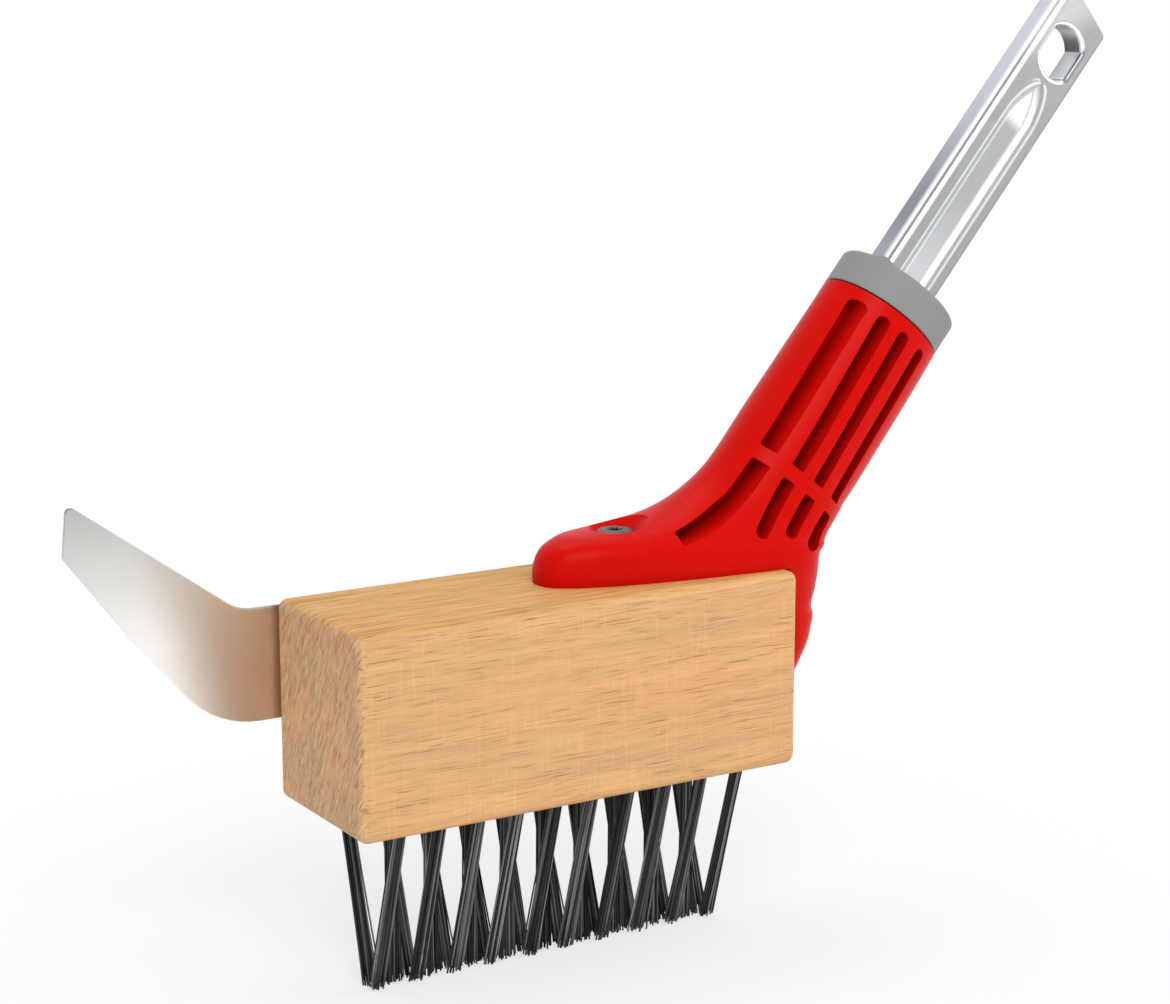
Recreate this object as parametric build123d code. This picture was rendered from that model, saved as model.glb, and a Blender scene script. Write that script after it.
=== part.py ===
from build123d import *
import os
from math import cos, degrees, hypot, pi, radians, sin, sqrt, tan

# Weeding brush head for paving joints, with a scraper blade and a click-in tang.
# Millimetres. X runs along the wooden block from the blade end to the socket end,
# Y across it from the bare front side to the blade side, Z up.
# The origin is the middle of the plane that the bristle tips touch.

# ---------------------------------------------------------------- driving sizes
# wooden block
BLOCK_LENGTH = 150.0
BLOCK_WIDTH = 54.0
BLOCK_HEIGHT = 61.0
BLOCK_EDGE_RADIUS = 3.0

# bristle field
BRISTLE_REACH = 54.5          # tips to the underside of the block
OUTER_TUFTS = 10              # in the front row and in the back row
END_MARGIN = 16.5             # block end to the first outer tuft
ROW_OFFSET = 18.3             # block middle to an outer row, at the underside
TIP_OFFSET = 1.85             # block middle to an outer row, at the tips
TUFT_HOLE_DIAMETER = 5.0
TUFT_HOLE_DEPTH = 14.0
TUFT_CLEARANCE = 0.1          # between a tuft's root and the wall of its hole
STRANDS_PER_TUFT = 11
STRAND_RADIUS = 0.45
STRAND_SIDES = 3
ROOT_SPREAD = 1.75            # where the strands leave the hole
TIP_SPREAD_ALONG = 2.5        # at the tips, along the block
TIP_SPREAD_ACROSS = 1.15      # at the tips, across the block
TIP_UNEVEN = 1.6              # how much shorter the shortest strands are
TIP_CUT = 0.5                 # how far the long strands are cut back flat
STRAND_SINK = 1.5             # how far the strands reach into the root
ROOT_SIDES = 8                # of a tuft's small hole and of the root in it
ROOT_INSET = 1.0              # root below the mouth of its hole
STAPLE_THICKNESS = 0.6
STAPLE_HEIGHT = 1.6

# moulded handle socket
NECK_ANGLE = 50.0             # neck above the block's top
NECK_FOOT_X = 65.0            # where the neck's axis meets the block's top
NECK_HEIGHT = 43.0            # across the neck, in the block's middle plane
NECK_WIDTH = 38.0
NECK_LENGTH = 92.0            # along its axis, from the block's top to the collar
NOSE_X = -2.0                 # tip of the foot
NOSE_WALL = 4.8               # upright part of the nose
NOSE_HEIGHT = 14.2            # where the foot's top begins
NOSE_ROUND = 16.0             # how far back the nose rounds over
FOOT_WIDTH = 44.6
FOOT_RISE = 6.1               # slope of the foot's top
INSTEP_RADIUS = 55.8          # foot's top into the neck
# heel in the middle plane: height above the block's top, distance from its middle
HEEL_PROFILE = ((0.0, 94.2), (2.3, 94.8), (4.8, 96.4), (7.0, 99.4), (9.0, 102.1), (16.0, 109.3))
RING_HEEL_HEIGHTS = (0.0, 1.0, 1.8, 2.6, 3.4, 4.0, 4.6, 5.1, 5.6, 6.9, 8.3, 10.0, 12.0)
RING_BULGES = (1.0, 1.0, 0.98, 0.95, 0.91, 0.84, 0.76, 0.69, 0.62, 0.46, 0.32, 0.2, 0.1)
FOOT_STEPS = 4                # sections along the foot's top
# the neck's sections: their place at its top and at its back, and how far its back
# stands out beyond half its height; the last ones by their gap to the collar's seam
NECK_RINGS = ((28.4, 36.8, 2.0), (35.0, 39.0, 2.2), (42.0, 42.0, 2.4), (60.0, 60.0, 1.8))
SEAM_RINGS = ((12.0, 1.0), (6.2, 0.6), (4.0, 0.4), (0.0, 0.2))
NECK_TILT = 0.0045            # shift of the widest place per millimetre of tilt
SECTION_STEPS = 4
# drop below the block's top, thickness and half width of the tail, whose step is the
# boss of the end screw, and the sections from each row to the next
TAIL_ROWS = ((-1.0, 19.5, 22.1), (2.0, 19.6, 21.6), (9.0, 19.0, 20.4), (15.7, 17.4, 20.0),
             (17.2, 18.2, 20.0), (21.7, 17.5, 20.0), (26.0, 16.4, 19.6), (31.0, 13.8, 18.6),
             (35.0, 11.9, 17.2), (39.0, 8.3, 14.4), (41.8, 3.0, 8.0))
TAIL_ROW_STEPS = (1, 2, 2, 1, 2, 2, 2, 2, 3, 2)
TAIL_POWER = 2.5              # its sections are half superellipses of this power
TAIL_STEPS = 14               # chords of each section

# slots in both sides of the neck
SLOT_WIDTH = 4.4
SLOT_ROUND_SIDES = 12         # of the slots' round ends
SLOT_SEAM_GAP = 4.0           # from their upper ends to the collar's seam
SLOT_BRIDGE = (28.5, 33.0)    # cross band between the long and the short slots
# middle of each long slot at the cross band and at its top, above the neck's axis,
# the short slot's lower end, and the floor's distance from the middle plane
SLOTS = ((16.3, 17.3, None, 4.5), (7.2, 9.9, (9.0, 4.6), 9.0),
         (-1.6, 1.9, (14.6, -4.2), 10.0), (-11.0, -7.5, (17.8, -14.0), 9.0))
# upper and lower edge of the first slot's lower part, which bends along the instep
INSTEP_SLOT = (((28.5, 18.4), (11.5, 20.7), (-5.9, 29.2)),
               ((28.5, 13.5), (9.6, 16.2), (-8.7, 26.4)))

# collar between the neck and the tang
COLLAR_HEIGHT = 11.6
COLLAR_CHAMFER = 0.9
COLLAR_END_RADIUS = 17.5      # its oval's tighter curves, at its top and underside

# sheet steel tang
TANG_WIDTH = 23.4
TANG_DEPTH = 10.0
TANG_SHEET = 1.5
TANG_BEND = 3.2               # outer radius of its two bends
TANG_RISE = 0.8               # its middle above the neck's axis
TANG_REACH = 111.7            # beyond the collar, in its middle
TANG_SEAT = 66.0              # length held in the socket
FLANGE_STOP = 9.0             # flanges end this far before its end
TANG_CLEARANCE = 0.1          # between tang and pocket
TANG_END_ANGLE = 11.0         # slant of its free end
GROOVE_WIDTH = 12.0
GROOVE_DEPTH = 1.6
GROOVE_RIM = 1.3              # sheet around the groove, seen from the back
GROOVE_STOP = 30.3            # groove's pointed end to the tang's end
LOCK_HOLE_RADIUS = 8.2
LOCK_HOLE_STOP = 17.3         # hole's centre to the tang's end, in the middle

# scraper blade
BLADE_SHEET = 1.8
BLADE_TOP_GAP = 2.5           # block's top to the blade's top edge
BLADE_HEIGHT = 34.2
BLADE_SEAT = 64.0             # length screwed to the block
BLADE_TIP = (-137.8, 34.8)    # its upper corner, from the block's middle and top
BLADE_POINT = (-139.4, 19.3)  # its lower corner
BLADE_BELLY = (-119.9, -6.6)  # where the lower edge bows slightly
BLADE_UPPER_BEND = -86.2      # the level edges end at these distances
BLADE_LOWER_BEND = -94.7
BLADE_INNER_RADIUS = 14.0
BLADE_OUTER_RADIUS = 30.0
BLADE_BELLY_RADIUS = 80.0
BLADE_CORNER = 3.0

# screws
SCREW_HEAD_DIAMETER = 12.0
SCREW_HEAD_HEIGHT = 3.0
SCREW_SHANK_DIAMETER = 5.0
SCREW_LENGTH = 34.0
SCREW_CLEARANCE = 0.1
SHANK_SIDES = 12              # a shank is this many sided, a head twice as many
HEAD_RECESS_CLEARANCE = 0.6
RECESS_STRAIGHT = 1.2         # upright wall of a recess before it flares
NOSE_SCREW_X = 25.5
NOSE_SCREW_FLOOR = 11.5       # seat of its head above the block's top
END_SCREW_DROP = 31.0
END_SCREW_FLOOR = 8.5         # seat of its head beyond the block's end
BLADE_SCREW_HEAD_DIAMETER = 9.0
BLADE_SCREW_HEAD_HEIGHT = 2.8
BLADE_SCREW_SHANK_DIAMETER = 4.0
BLADE_SCREW_LENGTH = 18.0
BLADE_SCREWS = 3
BLADE_SCREW_MARGIN = 10.0
DRIVE_SIZE = 2.7              # half width of the screws' recess over its corners
DRIVE_DEPTH = 1.8

# ---------------------------------------------------------------- worked out
BLOCK_BOTTOM = BRISTLE_REACH
BLOCK_TOP = BLOCK_BOTTOM + BLOCK_HEIGHT
BLOCK_END = BLOCK_LENGTH / 2
BLOCK_SIDE = BLOCK_WIDTH / 2
NECK = radians(NECK_ANGLE)
ALONG = (cos(NECK), sin(NECK))        # neck direction in the XZ plane
ACROSS = (-sin(NECK), cos(NECK))      # from the neck's underside to its top


def neck_xz(s, n):
    """Point of the middle plane at s along the neck and n above its axis."""
    return (NECK_FOOT_X + s * ALONG[0] + n * ACROSS[0],
            BLOCK_TOP + s * ALONG[1] + n * ACROSS[1])


def neck_plane(s):
    """Plane square to the neck at s: local X is its top side, local Y runs to -Y."""
    x, z = neck_xz(s, 0)
    return Plane(origin=(x, 0, z), x_dir=(ACROSS[0], 0, ACROSS[1]),
                 z_dir=(ALONG[0], 0, ALONG[1]))


def neck_side_plane(y):
    """Plane parallel to the block's sides: local X along the neck, local Y to its top."""
    x, z = neck_xz(0, 0)
    return Plane(origin=(x, y, z), x_dir=(ALONG[0], 0, ALONG[1]), z_dir=(0, -1, 0))


def box_between(low, high):
    size = [b - a for a, b in zip(low, high)]
    centre = [(a + b) / 2 for a, b in zip(low, high)]
    return Pos(*centre) * Box(*size)


# ---------------------------------------------------------------- bristles
def tuft_rows():
    """Each tuft as row name, number, foot (x, y) at the block and tip (x, y)."""
    pitch = (BLOCK_LENGTH - 2 * END_MARGIN) / (OUTER_TUFTS - 1)
    first = -BLOCK_END + END_MARGIN
    for i in range(OUTER_TUFTS):
        x = first + i * pitch
        yield "front", i + 1, (x, -ROW_OFFSET), (x, -TIP_OFFSET)
        yield "back", i + 1, (x, ROW_OFFSET), (x, TIP_OFFSET)
    for i in range(OUTER_TUFTS - 1):
        x = first + (i + 0.5) * pitch
        yield "middle", i + 1, (x, 0), (x, 0)


def tuft_axis(foot, tip):
    """Plane at the hole's mouth, its Z up the hole and into the block."""
    direction = (foot[0] - tip[0], foot[1] - tip[1], BRISTLE_REACH)
    return Plane(origin=(*foot, BLOCK_BOTTOM), x_dir=(1, 0, 0), z_dir=direction)


def tuft_hole(foot, tip):
    hole = extrude(RegularPolygon(TUFT_HOLE_DIAMETER / 2, ROOT_SIDES),
                   TUFT_HOLE_DEPTH + 2 * ROOT_INSET)
    return tuft_axis(foot, tip) * Pos(0, 0, -2 * ROOT_INSET) * hole


def strand(foot, tip, number, seed):
    """One straight wire, placed in the tuft on a sunflower pattern."""
    turn = 2.39996 * number + seed
    share = sqrt((number + 0.5) / STRANDS_PER_TUFT)
    lean = ((tip[0] - foot[0]) / BRISTLE_REACH, (tip[1] - foot[1]) / BRISTLE_REACH)
    start_z = BLOCK_BOTTOM + ROOT_INSET + STRAND_SINK
    rise = start_z - BLOCK_BOTTOM
    start = Vector(foot[0] - lean[0] * rise + ROOT_SPREAD * share * cos(turn),
                   foot[1] - lean[1] * rise + ROOT_SPREAD * share * sin(turn), start_z)
    end = Vector(tip[0] + TIP_SPREAD_ALONG * share * cos(turn),
                 tip[1] + TIP_SPREAD_ACROSS * share * sin(turn), 0)
    short = max(0, TIP_UNEVEN * (0.5 + 0.5 * sin(7.1 * number + 3 * seed)) - TIP_CUT)
    end = start + (end - start) * ((start_z - short) / start_z)
    section = Plane(origin=start) * RegularPolygon(STRAND_RADIUS, STRAND_SIDES,
                                                   rotation=degrees(turn))
    return Solid.extrude(section.face(), end - start)


def tuft(foot, tip, seed):
    """Root in its hole, with the strands fused to it."""
    root = extrude(RegularPolygon(TUFT_HOLE_DIAMETER / 2 - TUFT_CLEARANCE, ROOT_SIDES),
                   TUFT_HOLE_DEPTH - ROOT_INSET - STAPLE_HEIGHT)
    root = tuft_axis(foot, tip) * Pos(0, 0, ROOT_INSET) * root
    return root.fuse(*[strand(foot, tip, i, seed) for i in range(STRANDS_PER_TUFT)])


def staple(foot, tip):
    """Wire anchor that holds a tuft at the end of its hole."""
    length = TUFT_HOLE_DIAMETER - 2 * TUFT_CLEARANCE - STAPLE_THICKNESS
    bar = Box(length, STAPLE_THICKNESS, STAPLE_HEIGHT,
              align=(Align.CENTER, Align.CENTER, Align.MAX))
    return tuft_axis(foot, tip) * Pos(0, 0, TUFT_HOLE_DEPTH) * bar


# ---------------------------------------------------------------- screws
def screw(head_diameter, head_height, shank_diameter, length):
    """Flat head screw, its seat at z = 0, its shank down, with a six-sided recess."""
    shank = extrude(RegularPolygon(shank_diameter / 2, SHANK_SIDES), -length)
    head = extrude(RegularPolygon(head_diameter / 2, 2 * SHANK_SIDES), head_height)
    recess = Pos(0, 0, head_height - DRIVE_DEPTH) * extrude(
        RegularPolygon(DRIVE_SIZE, 6), 2 * DRIVE_DEPTH)
    return shank + head - recess


NOSE_SCREW_PLACE = Pos(NOSE_SCREW_X, 0, BLOCK_TOP + NOSE_SCREW_FLOOR)
END_SCREW_PLACE = (Pos(BLOCK_END + END_SCREW_FLOOR, 0, BLOCK_TOP - END_SCREW_DROP)
                   * Rot(0, 90, 0))


def blade_screw_places():
    """Seats of the screws on the blade's outer face."""
    y = BLOCK_SIDE + BLADE_SHEET
    z = BLOCK_TOP - BLADE_TOP_GAP - BLADE_HEIGHT / 2
    span = BLADE_SEAT - 2 * BLADE_SCREW_MARGIN
    for i in range(BLADE_SCREWS):
        x = -BLOCK_END + BLADE_SCREW_MARGIN + i * span / (BLADE_SCREWS - 1)
        yield Pos(x, y, z) * Rot(-90, 0, 0)


# ---------------------------------------------------------------- wooden block
def wood_block():
    block = box_between((-BLOCK_END, -BLOCK_SIDE, BLOCK_BOTTOM),
                        (BLOCK_END, BLOCK_SIDE, BLOCK_TOP))
    block = fillet(block.edges(), BLOCK_EDGE_RADIUS)
    holes = [tuft_hole(foot, tip) for _, _, foot, tip in tuft_rows()]
    pilot = Cylinder(SCREW_SHANK_DIAMETER / 2 + SCREW_CLEARANCE, SCREW_LENGTH + 1,
                     align=(Align.CENTER, Align.CENTER, Align.MAX))
    holes += [NOSE_SCREW_PLACE * pilot, END_SCREW_PLACE * pilot]
    small_pilot = Cylinder(BLADE_SCREW_SHANK_DIAMETER / 2 + SCREW_CLEARANCE,
                           BLADE_SCREW_LENGTH + 1,
                           align=(Align.CENTER, Align.CENTER, Align.MAX))
    holes += [place * small_pilot for place in blade_screw_places()]
    return block.cut(*holes)


# ---------------------------------------------------------------- scraper blade
def blade_outline():
    """Sickle-shaped outline in the XZ plane, widest at the block."""
    top = BLOCK_TOP - BLADE_TOP_GAP
    bottom = top - BLADE_HEIGHT
    seat_x = -BLOCK_END + BLADE_SEAT
    rest = [(x, BLOCK_TOP + z) for x, z in (BLADE_TIP, BLADE_POINT, BLADE_BELLY)]
    corners = [(seat_x, top), (BLADE_UPPER_BEND, top), *rest,
               (BLADE_LOWER_BEND, bottom), (seat_x, bottom)]
    radii = [BLADE_CORNER, BLADE_INNER_RADIUS, 1.6, 2.6, BLADE_BELLY_RADIUS,
             BLADE_OUTER_RADIUS, BLADE_CORNER]
    return FilletPolyline(*corners, radius=radii, close=True)


def scraper_blade():
    sketch = Plane.XZ.offset(-BLOCK_SIDE) * make_face(blade_outline())
    blade = extrude(sketch, -BLADE_SHEET)
    hole = Cylinder(BLADE_SCREW_SHANK_DIAMETER / 2 + SCREW_CLEARANCE, 4 * BLADE_SHEET)
    return blade.cut(*[place * hole for place in blade_screw_places()])


# ---------------------------------------------------------------- handle socket
def crest_points():
    """Foot and neck in the middle plane: nose wall, foot's top, instep, neck's top."""
    slope = radians(FOOT_RISE)
    top = (NOSE_X + NOSE_ROUND, BLOCK_TOP + NOSE_HEIGHT)
    neck_top = neck_xz(0, NECK_HEIGHT / 2)
    # corner where the foot's top would meet the neck's top
    run = ((neck_top[1] - top[1]) - tan(NECK) * (neck_top[0] - top[0])) / (tan(slope) - tan(NECK))
    corner = (top[0] + run, top[1] + run * tan(slope))
    reach = INSTEP_RADIUS * tan((NECK - slope) / 2)
    start = (corner[0] - reach * cos(slope), corner[1] - reach * sin(slope))
    centre = (start[0] - INSTEP_RADIUS * sin(slope), start[1] + INSTEP_RADIUS * cos(slope))
    wall = [(NOSE_X, BLOCK_TOP), (NOSE_X, BLOCK_TOP + NOSE_WALL)]
    lift = NOSE_HEIGHT - NOSE_WALL
    round_over = [(NOSE_X + NOSE_ROUND * (1 - cos(a)), BLOCK_TOP + NOSE_WALL + lift * sin(a))
                  for a in (radians(30), radians(60))]
    foot = [(top[0] + (start[0] - top[0]) * k / FOOT_STEPS,
             top[1] + (start[1] - top[1]) * k / FOOT_STEPS) for k in range(FOOT_STEPS)]
    arc = [(centre[0] + INSTEP_RADIUS * sin(a), centre[1] - INSTEP_RADIUS * cos(a))
           for a in (slope + (NECK - slope) * k / 5 for k in range(5))]
    return wall + round_over + foot + arc


def section(front, back, widest, half_width, front_power, back_power):
    """Closed curve through a front and a back point of the middle plane.

    Two superellipse halves meet at the widest place, a share of the way back."""
    span = (back[0] - front[0], back[1] - front[1])
    turns = [pi / 2 * k / SECTION_STEPS for k in range(SECTION_STEPS + 1)]
    points = [(widest * (1 - cos(v) ** (2 / front_power[0])),
               half_width * sin(v) ** (2 / front_power[1])) for v in turns]
    points += [(widest + (1 - widest) * cos(v) ** (2 / back_power),
                half_width * sin(v) ** (2 / back_power)) for v in turns[-2::-1]]
    curves = []
    for side in (1, -1):
        run = [Vector(front[0] + a * span[0], side * b, front[1] + a * span[1])
               for a, b in points]
        curves.append(Edge.make_spline(run, tangents=[Vector(0, side, 0), Vector(0, -side, 0)],
                                       scale=False))
    return Wire(curves)


def blend(table, at):
    """Straight interpolation in a table of (place, value) rows."""
    for (a, low), (b, high) in zip(table, table[1:]):
        if at <= b:
            return low + (high - low) * (at - a) / (b - a)
    return table[-1][1]


def socket_body():
    """Loft from the foot's flat sole through tilting sections to the collar's seam."""
    rings = []
    for front, z, bulge in zip(crest_points(), RING_HEEL_HEIGHTS, RING_BULGES):
        back = (blend(HEEL_PROFILE, z), BLOCK_TOP + z)
        half = NECK_WIDTH / 2 + (FOOT_WIDTH - NECK_WIDTH) / 2 * bulge
        widest = 0.54 + 0.26 * min(1, 1.25 * bulge)
        power = (2 - 0.68 * bulge, 2 + 0.5 * bulge)
        rings.append(section(front, back, widest, half, power, 2 + 0.5 * bulge))
    seam_rings = [(NECK_LENGTH - gap, NECK_LENGTH - gap, flare) for gap, flare in SEAM_RINGS]
    for upper, lower, flare in (*NECK_RINGS, *seam_rings):
        widest = NECK_HEIGHT / 2 / (NECK_HEIGHT + flare) + NECK_TILT * (lower - upper)
        rings.append(section(neck_xz(upper, NECK_HEIGHT / 2),
                             neck_xz(lower, -NECK_HEIGHT / 2 - flare),
                             widest, NECK_WIDTH / 2, (2, 2), 2))
    return Solid.make_loft(rings, True)


def tail():
    """Tongue of the socket that wraps down the end of the block."""
    rows = []
    for row, after, steps in zip(TAIL_ROWS, TAIL_ROWS[1:], TAIL_ROW_STEPS):
        rows += [[a + (b - a) * k / steps for a, b in zip(row, after)] for k in range(steps)]
    rings = []
    for drop, thick, half in [*rows, TAIL_ROWS[-1]]:
        points = [(BLOCK_END, half, BLOCK_TOP - drop)]
        for k in range(1, TAIL_STEPS):
            v = pi * k / TAIL_STEPS
            y = half * abs(cos(v)) ** (2 / TAIL_POWER)
            points.append((BLOCK_END + thick * sin(v) ** (2 / TAIL_POWER),
                           y if 2 * k < TAIL_STEPS else -y, BLOCK_TOP - drop))
        points.append((BLOCK_END, -half, BLOCK_TOP - drop))
        rings.append(Wire.make_polygon(points))
    return Solid.make_loft(rings, True)


def slot_cutters():
    """Long slots, a cross band and short slots, for both sides of the neck."""
    half = SLOT_WIDTH / 2
    low, high = SLOT_BRIDGE
    solids = []
    for start, end, foot, floor in SLOTS:
        crown = NECK_LENGTH - SLOT_SEAM_GAP - half
        shape = Polygon((high, start - half), (crown, end - half),
                        (crown, end + half), (high, start + half), align=None)
        shape += Pos(crown, end) * RegularPolygon(half, SLOT_ROUND_SIDES)
        if foot:
            s, n = foot[0] + half, foot[1]
            shape += Polygon((s, n - half), (low, start - half),
                             (low, start + half), (s, n + half), align=None)
            shape += Pos(s, n) * RegularPolygon(half, SLOT_ROUND_SIDES)
        else:
            upper, lower = INSTEP_SLOT
            shape += make_face([ThreePointArc(*upper), Line(upper[-1], lower[-1]),
                                ThreePointArc(*lower), Line(lower[0], upper[0])])
        for side in (-1, 1):
            reach = FOOT_WIDTH - floor
            cut = extrude(neck_side_plane(side * floor) * shape, -side * reach)
            solids.append(cut)
    return solids


def screw_space(head_diameter, head_height, shank_diameter, mouth):
    """Hole through a part for a screw's shank, with a flared recess for its head."""
    hole = Cylinder(shank_diameter / 2 + SCREW_CLEARANCE, 2 * SCREW_LENGTH)
    radius = head_diameter / 2 + HEAD_RECESS_CLEARANCE
    straight = Cylinder(radius, 3 * head_height, align=(Align.CENTER, Align.CENTER, Align.MIN))
    flare = Cone(radius, radius + mouth, mouth, align=(Align.CENTER, Align.CENTER, Align.MIN))
    return hole + straight + Pos(0, 0, RECESS_STRAIGHT) * flare


def handle_socket():
    body = socket_body() + tail()
    sizes = SCREW_HEAD_DIAMETER, SCREW_HEAD_HEIGHT, SCREW_SHANK_DIAMETER
    spaces = [NOSE_SCREW_PLACE * screw_space(*sizes, 4.0),
              END_SCREW_PLACE * screw_space(*sizes, 1.0)]
    return body.cut(*slot_cutters(), *spaces, *tang_space())


# ---------------------------------------------------------------- collar
def oval(height, width, end_radius):
    """Four-arc oval, its height along local X."""
    a, b, r = height / 2, width / 2, end_radius
    side_radius = ((a - r) ** 2 + b * b - r * r) / (2 * (b - r))
    centre = side_radius - b
    reach = hypot(a - r, centre)
    x, y = a - r + r * (a - r) / reach, r * centre / reach
    arcs = [ThreePointArc((x, -y), (a, 0), (x, y)), ThreePointArc((x, y), (0, b), (-x, y)),
            ThreePointArc((-x, y), (-a, 0), (-x, -y)), ThreePointArc((-x, -y), (0, -b), (x, -y))]
    return make_face(Curve() + arcs)


def socket_collar():
    sketch = oval(NECK_HEIGHT, NECK_WIDTH, COLLAR_END_RADIUS)
    collar = extrude(neck_plane(NECK_LENGTH) * sketch, COLLAR_HEIGHT)
    rim = collar.faces().sort_by(Axis((0, 0, 0), (ALONG[0], 0, ALONG[1])))[-1]
    collar = chamfer(rim.edges(), COLLAR_CHAMFER)
    return collar.cut(*tang_space())


# ---------------------------------------------------------------- tang
def channel(grow):
    """U-shaped section in the plane square to the neck, open towards the blade side."""
    outer = Rectangle(TANG_WIDTH + 2 * grow, TANG_DEPTH + 2 * grow)
    outer = fillet(outer.vertices().group_by(Axis.Y)[-1], TANG_BEND + grow)
    inner = Rectangle(TANG_WIDTH - 2 * TANG_SHEET - 2 * grow, 2 * TANG_DEPTH)
    inner = fillet(inner.vertices().group_by(Axis.Y)[-1], TANG_BEND - TANG_SHEET - grow)
    drop = TANG_DEPTH / 2 - TANG_SHEET - grow - TANG_DEPTH
    return Pos(TANG_RISE, 0) * (outer - Pos(0, drop) * inner)


def groove_outline(grow):
    """Straight groove with a pointed arch at its free end."""
    half = GROOVE_WIDTH / 2 + grow
    start = NECK_LENGTH - TANG_SEAT / 3 - grow
    tip = NECK_LENGTH + COLLAR_HEIGHT + TANG_REACH - GROOVE_STOP + grow
    shoulder = tip - half * 1.35
    low, high = TANG_RISE - half, TANG_RISE + half
    bow = (shoulder + half * 0.78, half * 0.62)
    lines = [Line((shoulder, low), (start, low)), Line((start, low), (start, high)),
             Line((start, high), (shoulder, high)),
             ThreePointArc((shoulder, high), (bow[0], TANG_RISE + bow[1]), (tip, TANG_RISE)),
             ThreePointArc((tip, TANG_RISE), (bow[0], TANG_RISE - bow[1]), (shoulder, low))]
    return make_face(Curve() + lines)


def groove_pad(grow):
    """Back of the pressed groove, standing out behind the tang's web."""
    plane = neck_side_plane(-TANG_DEPTH / 2 + TANG_SHEET + GROOVE_DEPTH + grow)
    return extrude(plane * groove_outline(GROOVE_RIM + grow), GROOVE_DEPTH + 2 * grow)


def tang_space():
    """Pocket that holds the seated end of the tang."""
    low = NECK_LENGTH - TANG_SEAT - TANG_CLEARANCE
    pocket = extrude(neck_plane(low) * channel(TANG_CLEARANCE), TANG_SEAT + 2 * COLLAR_HEIGHT)
    return [pocket, groove_pad(TANG_CLEARANCE)]


def tang():
    low, high = (TANG_RISE - TANG_WIDTH / 2, TANG_RISE + TANG_WIDTH / 2)
    start = NECK_LENGTH - TANG_SEAT
    end = NECK_LENGTH + COLLAR_HEIGHT + TANG_REACH
    slant = TANG_WIDTH / 2 * tan(radians(TANG_END_ANGLE))
    body = extrude(neck_plane(start) * channel(0), end + 2 * slant - start)
    body += groove_pad(0)
    outline = FilletPolyline((start, low), (end - slant, low), (end + slant, high),
                             (start, high), radius=[0.5, 2.5, 2.5, 0.5], close=True)
    body &= extrude(neck_side_plane(TANG_DEPTH) * make_face(outline), 2 * TANG_DEPTH)
    front = neck_side_plane(-TANG_DEPTH / 2)
    groove = extrude(front * groove_outline(0), GROOVE_DEPTH, both=True)
    flange_end = Polygon((end - slant - FLANGE_STOP, low - 1), (end + 3 * slant, low - 1),
                         (end + 3 * slant, high + 1), (end + slant - FLANGE_STOP, high + 1),
                         align=None)
    web_back = neck_side_plane(-TANG_DEPTH / 2 + TANG_BEND)
    flanges = extrude(web_back * flange_end, -2 * TANG_DEPTH)
    lock = front * Pos(end - LOCK_HOLE_STOP, TANG_RISE) * Circle(LOCK_HOLE_RADIUS)
    lock = extrude(lock, TANG_DEPTH, both=True)
    return body.cut(groove, flanges, lock)


# ---------------------------------------------------------------- all pieces
def pieces():
    yield "wood_block", wood_block()
    staples = []
    for seed, (row, number, foot, tip) in enumerate(tuft_rows()):
        yield f"{row}_tuft_{number:02d}", tuft(foot, tip, 0.9 * seed)
        staples.append(staple(foot, tip))
    yield "tuft_staples", Compound(children=staples)
    yield "handle_socket", handle_socket()
    yield "socket_collar", socket_collar()
    yield "tang", tang()
    yield "scraper_blade", scraper_blade()
    big = screw(SCREW_HEAD_DIAMETER, SCREW_HEAD_HEIGHT, SCREW_SHANK_DIAMETER, SCREW_LENGTH)
    yield "nose_screw", NOSE_SCREW_PLACE * big
    yield "end_screw", END_SCREW_PLACE * big
    small = screw(BLADE_SCREW_HEAD_DIAMETER, BLADE_SCREW_HEAD_HEIGHT,
                  BLADE_SCREW_SHANK_DIAMETER, BLADE_SCREW_LENGTH)
    yield "blade_screws", Compound(children=[place * small for place in blade_screw_places()])


if __name__ == "__main__":
    os.makedirs("parts", exist_ok=True)
    for name, solid in pieces():
        export_step(solid, f"parts/{name}.step")
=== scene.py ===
import math

import bmesh
import bpy
import mathutils
import numpy as np
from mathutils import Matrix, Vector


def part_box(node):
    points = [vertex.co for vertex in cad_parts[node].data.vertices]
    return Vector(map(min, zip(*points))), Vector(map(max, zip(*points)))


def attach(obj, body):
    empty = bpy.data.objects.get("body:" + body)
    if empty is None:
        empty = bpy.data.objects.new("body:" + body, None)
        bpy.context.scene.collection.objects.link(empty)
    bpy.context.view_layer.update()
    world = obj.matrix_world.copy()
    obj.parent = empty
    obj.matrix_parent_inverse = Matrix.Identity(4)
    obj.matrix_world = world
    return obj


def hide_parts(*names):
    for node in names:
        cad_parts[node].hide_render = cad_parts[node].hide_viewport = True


bl_info = {
    "name": "Joint Brush Head",
    "version": (1, 0, 0),
    "blender": (4, 5, 0),
    "location": "3D View > Sidebar > Brush Head",
    "description": "Builds a wire brush head for paving joints over its packed model",
    "category": "Object",
}

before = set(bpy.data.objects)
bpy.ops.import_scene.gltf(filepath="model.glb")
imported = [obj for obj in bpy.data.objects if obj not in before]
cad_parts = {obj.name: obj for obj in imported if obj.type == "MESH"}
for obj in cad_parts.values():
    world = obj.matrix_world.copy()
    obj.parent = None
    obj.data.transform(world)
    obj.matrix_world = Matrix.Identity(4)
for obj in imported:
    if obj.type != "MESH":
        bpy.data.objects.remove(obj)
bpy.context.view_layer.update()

MM = 0.001


def cad_box(node):
    """The two corners of a CAD node's box, in millimetres."""
    return [np.array(corner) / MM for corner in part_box(node)]


(_, _, BLOCK_BOTTOM), (BLOCK_END, BLOCK_SIDE, BLOCK_TOP) = cad_box("wood_block")

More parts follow.
